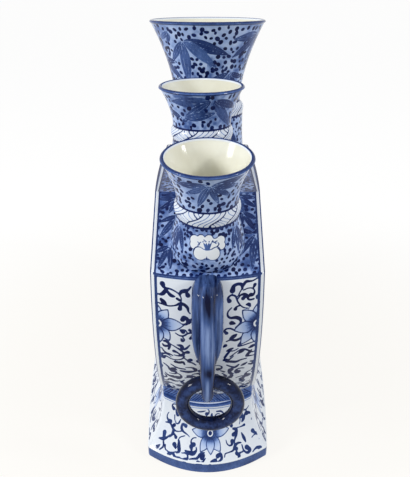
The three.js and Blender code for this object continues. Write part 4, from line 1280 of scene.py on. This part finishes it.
def inside_fingers(form, points):
    """Whether points on the roof lie well inside a finger's wall."""
    inset = form.finger_wall * 0.5
    hit = np.hypot(points[..., 0], points[..., 1]) < MIDDLE_FINGER["skirt"] - inset
    for which in ("inner", "outer"):
        for side in SIDES:
            back = np.array(form.seat(which, side).inverted())
            x, y, z = np.moveaxis(points @ back[:3, :3].T + back[:3, 3], -1, 0)
            near = (z > -SIDE_FINGER["foot_axis"] * BULB_FOOT) & (z < SIDE_FINGER["bulb_rise"])
            hit |= near & (np.hypot(x, y) < bulb_radius(z) - inset)
    return hit


def keep_outside(form, outer):
    middle = (outer[:-1, :-1] + outer[1:, :-1] + outer[:-1, 1:] + outer[1:, 1:]) / 4
    return ~inside_fingers(form, middle)


# Tufts on a slope, seen from its foot: across, up, then leaves of direction and length
SLOPE_LEAVES = (
    (37, 34.6, ((-102, 30), (-78, 24), (-128, 22), (-56, 14), (162, 18))),
    (-28, 25, ((-118, 22), (-55, 25), (-88, 20), (-150, 14))),
    (-22, 52, ((-128, 27), (-104, 22), (-158, 17))),
    (-24, 68, ((190, 17), (-140, 20), (-112, 16))),
    (24, 70, ((-8, 16), (-38, 20), (-66, 18))),
    (27, 55, ((-62, 22), (-30, 14), (-92, 17))),
)


def build_slope(form, side):
    half = form.half_depth - form.edge
    slant = math.hypot(form.roof - form.shoulder, form.shoulder_half_length - form.roof_half_length)
    t, y = np.meshgrid(np.linspace(0, 1, round(slant / form.cell) + 1),
                       np.linspace(-half, half, round(2 * half / form.cell) + 1), indexing="ij")
    outer = end_skin(form, side, y, mix(form.shoulder, form.roof, t))
    inner = end_skin(form, side, y * (form.half_depth - form.wall) / half,
                     mix(form.shoulder, form.roof - form.wall, t), form.wall)
    drawing = Drawing(2 * form.half_depth, slant, 0.42, 71 + side)
    drawing.tones["ground"] += 0.16 * np.clip(drawing.y / slant - 0.3, 0, 1)[:, None].astype(np.float32)
    for across, up, leaves in SLOPE_LEAVES:
        tuft(drawing, (form.half_depth + across, up), leaves, 0.70, 0.105)
    dots(drawing, 4.2, 1.5)
    v, edge = t * slant, half - np.abs(y)
    paint = drawing.paint(y + form.half_depth, v)
    band(paint, slant - v, 0.5, 1.2, 0.6)
    band(paint, edge, 0.9, 2.1, 0.76)
    band(paint, edge, -2, 0.8)
    band(paint, v, -1, 0.9, 0.74)
    settle(pierced_wall(f"Roof_slope_{SIDES[side]}", outer, inner, paint, keep_outside(form, outer)))


def build_roof_top(form):
    half, reach, margin = form.half_depth - form.edge - 0.1, form.roof_half_length, 4
    y, along = np.meshgrid(np.linspace(-half, half, round(2 * half / form.cell) + 1),
                           np.linspace(-1, 1, round(2 * reach / form.cell) + 1), indexing="ij")

    def level(y, z, inset=0.0):
        return np.stack([along * form.end_x(y, z, inset), y, np.full(y.shape, z)], -1)
    outer = level(y, form.roof)
    inner = level(y * (form.half_depth - form.wall - 0.1) / half, form.roof - form.wall, form.wall)
    drawing = Drawing(2 * (reach + margin), 2 * half, 0.46, 81)
    middle = reach + margin
    for across in (-38, 38):
        for hand in (1, -1):
            spray(drawing, (middle + across, half + 30 * hand), -hand * (90 + across * 0.4), 22, 24)
    dots(drawing, 4.2, 1.5)
    paint = drawing.paint(outer[..., 0] + middle, y + half)
    band(paint, half - np.abs(y), -1, 1.2, 0.76)
    settle(pierced_wall("Roof_top", outer, inner, paint, keep_outside(form, outer)))


# Fingers

def evenly(profile, step):
    """A profile of radius and height at even steps, and the running length along it."""
    profile = np.asarray(profile, float)
    run = slant_lengths(profile)
    count = max(3, round(run[-1] / step) + 1)
    at = np.linspace(0, run[-1], count)
    return np.stack([np.interp(at, run, profile[:, 0]), np.interp(at, run, profile[:, 1])], 1), at


def lathe(name, form, outer, inner, matrix, turned_by, draw, seed, ground=0.36):
    """A turned wall. draw paints its drawing, and returns what bands the wall over that paint."""
    ratio = 6
    outer, up = evenly(outer, form.cell)
    inner, _ = evenly(inner, form.cell * ratio * 0.7)
    turns = ratio * round(2 * math.pi * outer[:, 0].max() / form.cell / ratio)
    around = np.arange(turns) * 2 * math.pi / turns
    place = np.array(matrix)

    def swept(profile, angles):
        points = np.stack([profile[:, :1] * np.cos(angles), profile[:, :1] * np.sin(angles),
                           profile[:, 1:] + 0 * angles], -1)
        return points @ place[:3, :3].T + place[:3, 3]
    radius = float(np.median(outer[:, 0]))
    drawing = Drawing(2 * math.pi * radius, up[-1], ground, seed,
                      lambda v: np.interp(v, up, outer[:, 0]) / radius, wraps=True)
    finish = draw(drawing, outer, up)
    v, u = np.meshgrid(up, (around - turned_by) * radius, indexing="ij")
    paint = drawing.paint(u, v)
    finish(paint, v)
    settle(clay_wall(name, swept(outer, around), swept(inner, around[::ratio]), paint, True, 1))


def mouth_profiles(form, f):
    """The outside and the inside of a bead and trumpet, as radius and height."""
    top = f["bead_height"] + f["trumpet_height"]
    half = form.lip / 2
    s = np.linspace(0, 1, 15)[:-1]
    neck = mix(f["root"], f["throat"], s)
    bead = np.stack([neck + (f["bead"] - neck) * np.sin(math.pi * s), f["bead_height"] * s], 1)
    # The flare ends where the lip starts to roll over
    s = np.linspace(0, 0.958, 30)
    flare = np.stack([mix(f["throat"], f["mouth"], s ** TRUMPET_POWER),
                      f["bead_height"] + f["trumpet_height"] * s], 1)
    turn = np.linspace(0, math.pi, 14)
    lip = np.stack([f["mouth"] - half + half * np.cos(turn), top - half + half * np.sin(turn)], 1)
    s = np.linspace(0, 1, 24)[:-1]
    wall = mix(form.finger_wall, form.lip, s)
    bore = np.stack([mix(f["throat"], f["mouth"], s ** TRUMPET_POWER) - wall,
                     f["bead_height"] + (f["trumpet_height"] - half) * s], 1)
    foot = [[f["throat"] - form.finger_wall, 0]]
    return np.concatenate([bead, flare, lip]), np.concatenate([foot, bore])


def draw_mouth(f, clusters, spacing, radius):
    """How a mouth is painted: a roped bead, leaves over dots, and a blue lip, bare on its inner half."""
    def draw(drawing, outer, up):
        top = up[-1]
        # Heights repeat past the lip's crest, so only those well below it are looked up
        wall = len(outer) * 3 // 4
        bead_top = np.interp(f["bead_height"], outer[:wall, 1], up[:wall])
        lip = up[np.argmax(outer[:, 1] > f["bead_height"] + f["trumpet_height"] - 2.2)]
        for degrees_round, part_up, leaves in clusters:
            at = (degrees_round / 360 * drawing.width, mix(bead_top, lip, part_up))
            tuft(drawing, at, leaves, 0.62, 0.135)
        dots(drawing, spacing, radius, (0, bead_top + 1), (drawing.width, lip - 1.5))
        rope(drawing, bead_top)

        def finish(paint, v):
            band(paint, v, bead_top - 0.3, bead_top + 1.1, 0.86)
            band(paint, v, -1, 1.0, 0.84)
            band(paint, v, lip - 0.9, lip + 0.3, 0.88)
            band(paint, v, lip + 0.4, top - 3.0, 0.56)
            band(paint, v, top - 3.2, top - 1.5, 0.72)
            band(paint, v, top - 1.3, top + 2)
        return finish
    return draw


# Tufts round a mouth: degrees round from the side that faces outwards, how far up, then the leaves
MIDDLE_LEAVES = (
    (-29, 0.8, ((-92, 36), (-128, 24), (-12, 38), (-36, 33))), (-43, 0.9, ((-158, 18), (-120, 12))),
    (70, 0.86, ((186, 30), (-142, 30), (-104, 26), (-60, 20))),
    (33, 0.4, ((-58, 20), (-140, 28), (-100, 20), (-22, 18), (202, 22))),
    (118, 0.62, ((-90, 30), (-40, 32), (-140, 28))),
    (152, 0.86, ((-92, 34), (-128, 24), (-12, 30), (-40, 30))),
    (196, 0.45, ((-58, 20), (-140, 26), (-100, 20))),
    (232, 0.84, ((186, 26), (-142, 28), (-104, 30), (-60, 24))),
    (282, 0.55, ((-90, 26), (-40, 26), (-140, 28), (-8, 20))),
)
INNER_LEAVES = (
    (16, 0.82, ((184, 33), (-142, 29), (-50, 30), (-14, 26))), (-34, 0.3, ((12, 26), (165, 18))),
    (100, 0.82, ((-90, 24), (-130, 20), (-44, 22))),
    (170, 0.7, ((183, 24), (-138, 20), (-56, 22), (-20, 20))),
    (255, 0.8, ((-92, 24), (-140, 22), (-40, 20))),
)
OUTER_LEAVES = (
    (3, 0.8, ((187, 25), (-144, 20), (-112, 22), (-74, 19), (-40, 20), (2, 26), (-16, 22))),
    (90, 0.74, ((-90, 22), (-140, 22), (-30, 24))),
    (176, 0.8, ((188, 24), (-136, 20), (-48, 18), (-10, 24))),
    (262, 0.72, ((-92, 22), (-146, 22), (-36, 20))),
)


def build_middle_finger(form):
    f = MIDDLE_FINGER
    height = np.linspace(0, f["stem_height"], 30)
    skin = np.stack([stem_radius(height), height], 1)

    def draw_stem(drawing, outer, up):
        for part_round in (0.08, 0.33, 0.60, 0.84):
            spray(drawing, (part_round * drawing.width, up[-1] - 8), -90, 26, 30)
        dots(drawing, 4.3, 1.45)

        def finish(paint, v):
            band(paint, up[-1] - v, -1, 0.8, 0.82)
            band(paint, v, -1, 0.8, 0.8)
        return finish
    lathe("Middle_finger_stem", form, skin, skin - [form.finger_wall, 0],
          Matrix.Translation((0, 0, form.roof)), 0, draw_stem, 91)
    lathe("Middle_finger_mouth", form, *mouth_profiles(form, f),
          Matrix.Translation((0, 0, form.roof + f["stem_height"])), 0,
          draw_mouth(f, MIDDLE_LEAVES, 4.7, 1.75), 92, 0.35)


def build_side_finger(form, which, side):
    outer_one = which == "outer"
    f, leaves = (OUTER_FINGER, OUTER_LEAVES) if outer_one else (SIDE_FINGER, INNER_LEAVES)
    seat = form.seat(which, side)
    face_out = 0 if side > 0 else math.pi
    seed = 100 + 10 * outer_one + side
    height = np.linspace(-f["foot_axis"] * BULB_FOOT, f["bulb_rise"], 40)
    skin = np.stack([bulb_radius(height), height], 1)

    def draw_bulb(drawing, outer, up):
        top = up[-1]
        if outer_one:
            prunus(drawing, (0, np.interp(13.2, outer[:, 1], up)), 0.96)
        for part_round in (0.16, 0.33, 0.5, 0.67, 0.84):
            spray(drawing, (part_round * drawing.width, top - 3), -90, 23, 17, 0.10)
        # Larger dots low on the bulb
        dots(drawing, 4.6, 1.95, high=(drawing.width, 0.42 * top))
        dots(drawing, 3.7, 1.35, low=(0, 0.42 * top))
        return lambda paint, v: band(paint, top - v, -1, 0.9, 0.82)
    lathe(f"{which.title()}_finger_bulb_{SIDES[side]}", form, skin, skin - [form.finger_wall, 0], seat,
          face_out, draw_bulb, seed)
    lathe(f"{which.title()}_finger_mouth_{SIDES[side]}", form, *mouth_profiles(form, f),
          seat @ Matrix.Translation((0, 0, f["bulb_rise"])), face_out,
          draw_mouth(f, leaves, 4.9, 1.65), seed + 50, 0.30 if outer_one else 0.42)


# Handles and rings

def closed_loft(rings):
    rings = np.asarray(rings, float)
    rows, cols = rings.shape[:2]
    faces = [tuple(int(n) for n in face) for face in grid_faces(rows, cols, 0, True)]
    faces += [tuple(range(cols))[::-1], tuple(range((rows - 1) * cols, rows * cols))]
    return rings.reshape(-1, 3), faces


def level_slices(heights, section, count=28, power=0.8):
    """Level rings from a section that gives back, front, half width and Y middle at a height."""
    rings = []
    for z in heights:
        back, front, half, middle = section(z)
        turn = np.linspace(0, 2 * math.pi, count, endpoint=False)
        c, s = np.cos(turn), np.sin(turn)
        widest = mix(back, front, 0.55)
        x = widest + np.where(c > 0, front - widest, widest - back) * np.sign(c) * np.abs(c) ** power
        y = middle + half * np.sign(s) * np.abs(s) ** power
        rings.append(np.stack([x, y, np.full(count, z)], 1))
    return rings


def bent_bar(points, sizes, count=24, steps=90):
    """Rings of oval section along a path in the XZ plane. sizes are (half width, half thickness)."""
    path = smooth_path(np.concatenate([np.asarray(points, float), np.asarray(sizes, float)], 1), steps)
    along = np.gradient(path[:, :2], axis=0)
    along /= np.linalg.norm(along, axis=1)[:, None]
    turn = np.linspace(0, 2 * math.pi, count, endpoint=False)
    rings = []
    for (x, z, wide, thick), (ax, az) in zip(path, along):
        out = thick * np.cos(turn)
        rings.append(np.stack([x - az * out, wide * np.sin(turn), z + ax * out], 1))
    return rings


def store_heap_and_painted_light(mesh, heap):
    """Stores how thickly the glaze lies at each point of a mesh, together with the light and shade painted
    into it.
    """
    held = mesh.color_attributes.new("cobalt_heap", "FLOAT_COLOR", "POINT")
    values = np.repeat(np.clip(heap, 0, 1)[:, None], 4, axis=1)
    values[:, 3] = 1
    held.data.foreach_set("color", values.astype(np.float32).ravel())


def hump(value, middle, width):
    return np.exp(-((value - middle) / width) ** 2)


def heap_and_painted_light_on_handle(mesh, brow):
    """Run glaze, with light and shade painted into it: lighter ridges edged by painted highlight lines,
    pooled glaze and painted shade in the grooves, a painted dark reflection below the brow, and a pool at
    the chin.
    """
    place = np.empty(len(mesh.vertices) * 3)
    mesh.vertices.foreach_get("co", place)
    place = place.reshape(-1, 3) / MM
    y, across, down = place[:, 1], np.abs(place[:, 1]), brow - place[:, 2]
    # Thinner glaze and painted highlight down the trunk's middle and the flaps' crests, and a thin painted
    # highlight line down each side of the trunk's ridge
    thin_and_highlit = 0.24 * hump(across, 0, 3.4) + 0.12 * hump(across, 8.2, 1.6) + 0.15 * hump(across, 3.5, 0.6)
    # Pooled glaze and painted shade in the grooves beside the trunk, and painted shade on the flaps' outer
    # sides
    thick = 0.17 * hump(across, 5.6, 1.3) + 0.14 * np.clip((across - 9.6) / 1.6, 0, 1)
    heap = 0.48 - thin_and_highlit * np.clip(down / 24, 0.1, 1) + thick + 0.26 * np.clip((down - 44) / 14, 0, 1)
    # A painted dark reflection just below the brow, then a heaped pool at the chin
    heap += 0.48 * hump(y, 0.9, 4.2) * hump(down, 14, 9.0)
    heap += 0.55 * hump(y, 0.6, 2.6) * hump(down, 61, 4.5)
    heap += 0.16 * hump(down, 5, 5.0)
    # Painted shade on the sides and a painted highlight along the crest towards the trunk's end
    low = np.clip((down - 64) / 12, 0, 1)
    heap += low * (0.34 * np.clip((across - 1.6) / 2.4, 0, 1) - 0.30 * hump(across, 0, 1.1))
    store_heap_and_painted_light(mesh, heap)


HEAD_HALF_WIDTH = 10.6
FLAP_HALF_WIDTH = 2.7
HANDLE_VOXEL = 0.62
# Half widths along the trunk, from its root in the brow, and half thicknesses down to the chin
TRUNK_HALF_WIDTHS = (5.0, 5.2, 5.3, 5.4, 5.6, 5.6, 5.2, 4.6, 4.3, 3.2, 3.0, 3.6, 4.3, 4.5)
BROW_HALF_THICKNESSES = (4.2, 4.4, 4.6, 5.0, 5.0, 4.6)


def fused(parts, side):
    """One softened skin over closed parts that overlap."""
    vertices, faces = [], []
    for held, made in parts:
        start = sum(len(v) for v in vertices)
        vertices.append(held * [side, side, 1] * MM)
        faces += [tuple(n + start for n in face) for face in made]
    mesh = bpy.data.meshes.new("rough")
    mesh.from_pydata(np.concatenate(vertices).tolist(), [], faces)
    rough = put_in_scene("rough", mesh)
    fuse = rough.modifiers.new("fuse", "REMESH")
    fuse.mode, fuse.voxel_size, fuse.use_smooth_shade = "VOXEL", HANDLE_VOXEL * MM, True
    soften = rough.modifiers.new("soften", "SMOOTH")
    soften.factor, soften.iterations = 0.5, 8
    skin = bpy.data.meshes.new_from_object(rough.evaluated_get(bpy.context.evaluated_depsgraph_get()))
    bpy.data.objects.remove(rough)
    skin.shade_smooth()
    return skin


def build_handle(form, side):
    """An elephant's head with long side flaps, whose trunk hangs down and curls back to the wall."""
    trunk_x = form.widest + float(form.end_bow(form.widest_height)) + form.handle_reach
    brow = form.shoulder + form.head_above
    chin = brow - form.head_height
    curl = brow - form.trunk_drop
    thick = form.trunk / 2
    ring_x = trunk_x - thick - form.ring_gap - form.ring_section
    wall_z = curl + form.ring_section * 1.6

    def surface(z):
        return float(form.half_length(z) + form.end_bow(z))

    def front(z):
        return trunk_x + 1.6 - form.brow_setback * np.clip((z - chin) / form.head_height, 0, 1) ** 1.4

    def head(z):
        crown = np.clip((brow - z) / 6.5, 0, 1)
        round_off = math.sqrt(max(0.015, 1 - (1 - crown) ** 2))
        jaw = np.clip((z - chin) / 22, 0, 1)
        back = mix(trunk_x - 4, surface(z) - 3, math.sin(jaw * math.pi / 2))
        half = HEAD_HALF_WIDTH * mix(0.62, 1, jaw) * mix(0.52, 1, round_off)
        return back, mix(surface(z), front(z) - 2.2, round_off), half, 0

    def flap(z, flank):
        t = np.clip((z - chin + 2) / (brow - 2 - chin + 2), 0, 1)
        swell = math.sqrt(max(0.02, 1 - abs(2 * t - 1) ** (7 if t > 0.5 else 4)))
        drawn_in = 1 - 0.2 * np.clip(1 - (brow - 2 - z) / 5, 0, 1) ** 2
        back = mix(trunk_x - 12, surface(z) - 3, math.sin(min(1, t * 2.4) * math.pi / 2))
        sunk = mix(3.2, 7.5, np.clip(1 - (brow - 2 - z) / 22, 0, 1))
        apart = drawn_in * mix(5.2, 8.8, min(1, t * 3) ** 0.7)
        return back, mix(back + 6, front(z) - sunk, swell), FLAP_HALF_WIDTH * swell, flank * apart
    parts = [closed_loft(level_slices(np.linspace(chin, brow, 46), head, power=0.95))]
    for flank in (1, -1):
        heights = np.linspace(chin - 2, brow - 2, 40)
        parts.append(closed_loft(level_slices(heights, lambda z: flap(z, flank), 20)))
    # From inside the brow, down the face, round the curl and back into the wall
    trunk = [(trunk_x - 21, brow - 4.2), (trunk_x - 15.5, brow - 4.4), (trunk_x - 10.8, brow - 7.2),
             (front(brow - 16) - 4.8, brow - 15), (front(brow - 34) - 3.6, brow - 33),
             (front(chin + 8) - 2.6, chin + 8), (trunk_x, mix(chin, curl, 0.4)), (trunk_x, curl + 13.4),
             (trunk_x - 1.4, curl + 5), (trunk_x - 5.2, curl + 0.9), (ring_x, curl - 0.1),
             (ring_x - 6, curl + 0.8), (surface(wall_z) + 4, wall_z - 2.5), (surface(wall_z) - 3.5, wall_z)]
    below = len(trunk) - len(BROW_HALF_THICKNESSES)
    sizes = list(zip(TRUNK_HALF_WIDTHS, BROW_HALF_THICKNESSES + (thick,) * below))
    parts.append(closed_loft(bent_bar(trunk, sizes)))
    piece = put_in_scene(f"Elephant_handle_{SIDES[side]}", fused(parts, side))
    heap_and_painted_light_on_handle(piece.data, brow)
    settle(piece, ("handle",))


def build_ring(form, side):
    """A loose ring, thrown by hand, so its section swells a little."""
    low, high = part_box(f"handle_ring_{SIDES[side]}")
    middle = np.array((low + high) / 2) / MM
    steps, sides = 144, 36
    around = np.arange(steps)[:, None] * 2 * math.pi / steps
    turn = np.arange(sides) * 2 * math.pi / sides
    uneven = 1 - 0.022 * (1 + np.sin(3 * around + 1) * np.sin(2 * around))
    section = form.ring_section * uneven
    radius = form.ring_radius + section * np.cos(turn)
    points = middle + np.stack([section * np.sin(turn), radius * np.cos(around),
                                radius * np.sin(around)], -1)
    quads = grid_faces(steps + 1, sides, 0, True, True) % (steps * sides)
    piece = mesh_piece(f"Handle_ring_{SIDES[side]}", points.reshape(-1, 3), quads, [])
    brushed = 0.07 * np.sin(5 * turn + 1.3 * np.sin(2 * around))
    # Painted light and shade: lighter along the crest that faces out on both sides, where the glaze also
    # lies thinner, and darker towards the section's inner and outer rims
    store_heap_and_painted_light(piece.data, (0.70 - 0.42 * np.abs(np.sin(turn)) ** 2.5 + brushed).ravel())
    settle(piece, ("ring",), f"ring_{SIDES[side]}")


# Stage

def background_rays(tree):
    """1 for the rays that show the background: the camera's, and those of mirror and glass."""
    rays = add(tree, "ShaderNodeLightPath").outputs
    shown = rays["Is Camera Ray"]
    for kind in ("Is Glossy Ray", "Is Transmission Ray"):
        shown = add(tree, "ShaderNodeMath", {0: shown, 1: rays[kind]}, operation="MAXIMUM").outputs["Value"]
    return shown


# The camera, fitted to the photograph: its place in metres, how far down it looks in degrees, and its
# focal length and shift in pixels of a frame this wide
FRAME_WIDTH = 410
CAMERA_PLACE = (0.4550, 0.0, 0.3826)
CAMERA_DOWN = 25.88
FOCAL_LENGTH = 504.4
CAMERA_SHIFT = (-2.5, 0.4)
SENSOR = 36.0  # the width of the camera's sensor
# Two windows: place, width and height in metres, then watts
WINDOWS = {"Left_window": ((0.60, -1.40, 0.86), 0.5, 0.30, 17.0),
           "Right_window": ((0.60, 1.35, 0.95), 0.24, 0.24, 9.5)}
LIT_PLACE = Vector((0, 0, 0.18))
FLOOR_REACH = 60  # from the vase to each side of the paper, in metres


def set_camera(scene):
    held = bpy.data.cameras.new("Camera")
    held.sensor_fit, held.sensor_width = "HORIZONTAL", SENSOR
    held.lens = FOCAL_LENGTH * SENSOR / FRAME_WIDTH
    held.shift_x, held.shift_y = (shift / FRAME_WIDTH for shift in CAMERA_SHIFT)
    camera = put_in_scene("Camera", held)
    camera.location = CAMERA_PLACE
    camera.rotation_euler = (math.radians(90 - CAMERA_DOWN), 0, math.radians(90))
    scene.camera = camera


def set_windows():
    for name, (place, wide, high, power) in WINDOWS.items():
        lamp = bpy.data.lights.new(name, "AREA")
        lamp.shape, lamp.size, lamp.size_y, lamp.energy = "RECTANGLE", wide, high, power
        light = put_in_scene(name, lamp)
        light.location = place
        light.rotation_euler = (LIT_PLACE - Vector(place)).to_track_quat("-Z", "Y").to_euler()


def set_world(scene):
    """Plain light from all round, and white where the background shows."""
    world = bpy.data.worlds.new("Studio")
    world.use_nodes = True
    tree = world.node_tree
    tree.nodes.clear()
    white = colour("#FFFFFF")
    room = add(tree, "ShaderNodeBackground", {"Color": white, "Strength": 0.62})
    paper = add(tree, "ShaderNodeBackground", {"Color": white, "Strength": 1.0})
    both = add(tree, "ShaderNodeMixShader",
               {0: background_rays(tree), 1: room.outputs[0], 2: paper.outputs[0]})
    add(tree, "ShaderNodeOutputWorld", {"Surface": both.outputs[0]})
    scene.world = world


def paper_sweep(glaze):
    """Matt white paper, a little darker and warmer round the foot as painted shade, bright to the eye, that
    keeps the vase's shadow.
    """
    material, tree = new_material("Matt white paper sweep")
    place = add(tree, "ShaderNodeTexCoord").outputs["Object"]
    away = add(tree, "ShaderNodeVectorMath", {0: place}, operation="LENGTH")
    fade = add(tree, "ShaderNodeMapRange",
               {"Value": away.outputs["Value"], "From Min": 0.12, "From Max": 0.62},
               interpolation_type="SMOOTHSTEP")
    # Painted shade: the paper darkens a little, and warms, within about half a metre of the vase
    tone = add(tree, "ShaderNodeValToRGB", {"Fac": fade.outputs["Result"]},
               ((0.0, glaze.floor), (1.0, colour("#FFFFFF"))))
    matt = add(tree, "ShaderNodeBsdfDiffuse", {"Color": colour("#B4B4B2")})
    glow = add(tree, "ShaderNodeEmission", {"Color": tone.outputs["Color"], "Strength": 1.15})
    lit = add(tree, "ShaderNodeMath", {0: background_rays(tree), 1: 0.80}, operation="MULTIPLY")
    both = add(tree, "ShaderNodeMixShader",
               {0: lit.outputs["Value"], 1: matt.outputs[0], 2: glow.outputs[0]})
    add(tree, "ShaderNodeOutputMaterial", {"Surface": both.outputs[0]})
    return material


def lay_floor(glaze):
    mesh = bpy.data.meshes.new("Floor")
    corners = [(x * FLOOR_REACH, y * FLOOR_REACH, 0) for x, y in ((-1, -1), (1, -1), (1, 1), (-1, 1))]
    mesh.from_pydata(corners, [], [(0, 1, 2, 3)])
    mesh.materials.append(paper_sweep(glaze))
    put_in_scene("Floor", mesh)


# Operators

def ready(context):
    """The form at the scene's sizes, once the glazes are mixed."""
    materials(context)
    return Form(context)


class VASE_OT_stage(bpy.types.Operator):
    """Set the camera, the lamps and the paper sweep"""

    bl_idname = "vase.stage"
    bl_label = "Studio"

    def execute(self, context):
        context.scene.view_settings.view_transform = "Standard"
        set_camera(context.scene)
        set_windows()
        set_world(context.scene)
        lay_floor(context.scene.vase_glaze)
        return {"FINISHED"}


class VASE_OT_foot(bpy.types.Operator):
    """Build the foot, the waist band and the floor of the body"""

    bl_idname = "vase.foot"
    bl_label = "Foot and waist"

    def execute(self, context):
        form = ready(context)
        build_foot(form)
        build_collar(form)
        build_floor(form)
        return {"FINISHED"}


class VASE_OT_body(bpy.types.Operator):
    """Build the two end walls and the two broad faces"""

    bl_idname = "vase.body"
    bl_label = "Body walls"

    def execute(self, context):
        form = ready(context)
        for side in SIDES:
            build_end(form, side)
            build_face(form, side)
        return {"FINISHED"}


class VASE_OT_roof(bpy.types.Operator):
    """Build the level top and the two slopes, pierced under the fingers"""

    bl_idname = "vase.roof"
    bl_label = "Roof"

    def execute(self, context):
        form = ready(context)
        build_roof_top(form)
        for side in SIDES:
            build_slope(form, side)
        return {"FINISHED"}


class VASE_OT_middle_finger(bpy.types.Operator):
    """Build the stem and the mouth of the tall middle finger"""

    bl_idname = "vase.middle_finger"
    bl_label = "Middle finger"

    def execute(self, context):
        build_middle_finger(ready(context))
        return {"FINISHED"}


class VASE_OT_side_fingers(bpy.types.Operator):
    """Build the bulbs and mouths of the four side fingers"""

    bl_idname = "vase.side_fingers"
    bl_label = "Side fingers"

    def execute(self, context):
        form = ready(context)
        for which in ("inner", "outer"):
            for side in SIDES:
                build_side_finger(form, which, side)
        return {"FINISHED"}


class VASE_OT_handles(bpy.types.Operator):
    """Build the elephant-head handles"""

    bl_idname = "vase.handles"
    bl_label = "Handles"

    def execute(self, context):
        form = ready(context)
        for side in SIDES:
            build_handle(form, side)
        return {"FINISHED"}


class VASE_OT_rings(bpy.types.Operator):
    """Build the loose rings"""

    bl_idname = "vase.rings"
    bl_label = "Rings"

    def execute(self, context):
        form = ready(context)
        for side in SIDES:
            build_ring(form, side)
        return {"FINISHED"}


STEPS = (VASE_OT_stage, VASE_OT_foot, VASE_OT_body, VASE_OT_roof, VASE_OT_middle_finger,
         VASE_OT_side_fingers, VASE_OT_handles, VASE_OT_rings)


class VASE_PT_panel(bpy.types.Panel):
    """Sizes, glazes and building steps of the vase"""

    bl_label = "Finger vase"
    bl_idname = "VASE_PT_panel"
    bl_space_type = "VIEW_3D"
    bl_region_type = "UI"
    bl_category = "Finger vase"

    def draw(self, context):
        for step in STEPS:
            self.layout.operator(step.bl_idname)
        for group in (context.scene.vase_shape, context.scene.vase_glaze):
            box = self.layout.box()
            for name in type(group).__annotations__:
                box.prop(group, name)


CLASSES = (VASE_PG_shape, VASE_PG_glaze, *STEPS, VASE_PT_panel)


def register():
    for held in CLASSES:
        bpy.utils.register_class(held)
    bpy.types.Scene.vase_shape = bpy.props.PointerProperty(type=VASE_PG_shape)
    bpy.types.Scene.vase_glaze = bpy.props.PointerProperty(type=VASE_PG_glaze)


def unregister():
    del bpy.types.Scene.vase_glaze
    del bpy.types.Scene.vase_shape
    for held in reversed(CLASSES):
        bpy.utils.unregister_class(held)


def main():
    register()
    for step in STEPS:
        group, name = step.bl_idname.split(".")
        getattr(getattr(bpy.ops, group), name)()


if __name__ == "__main__":
    main()
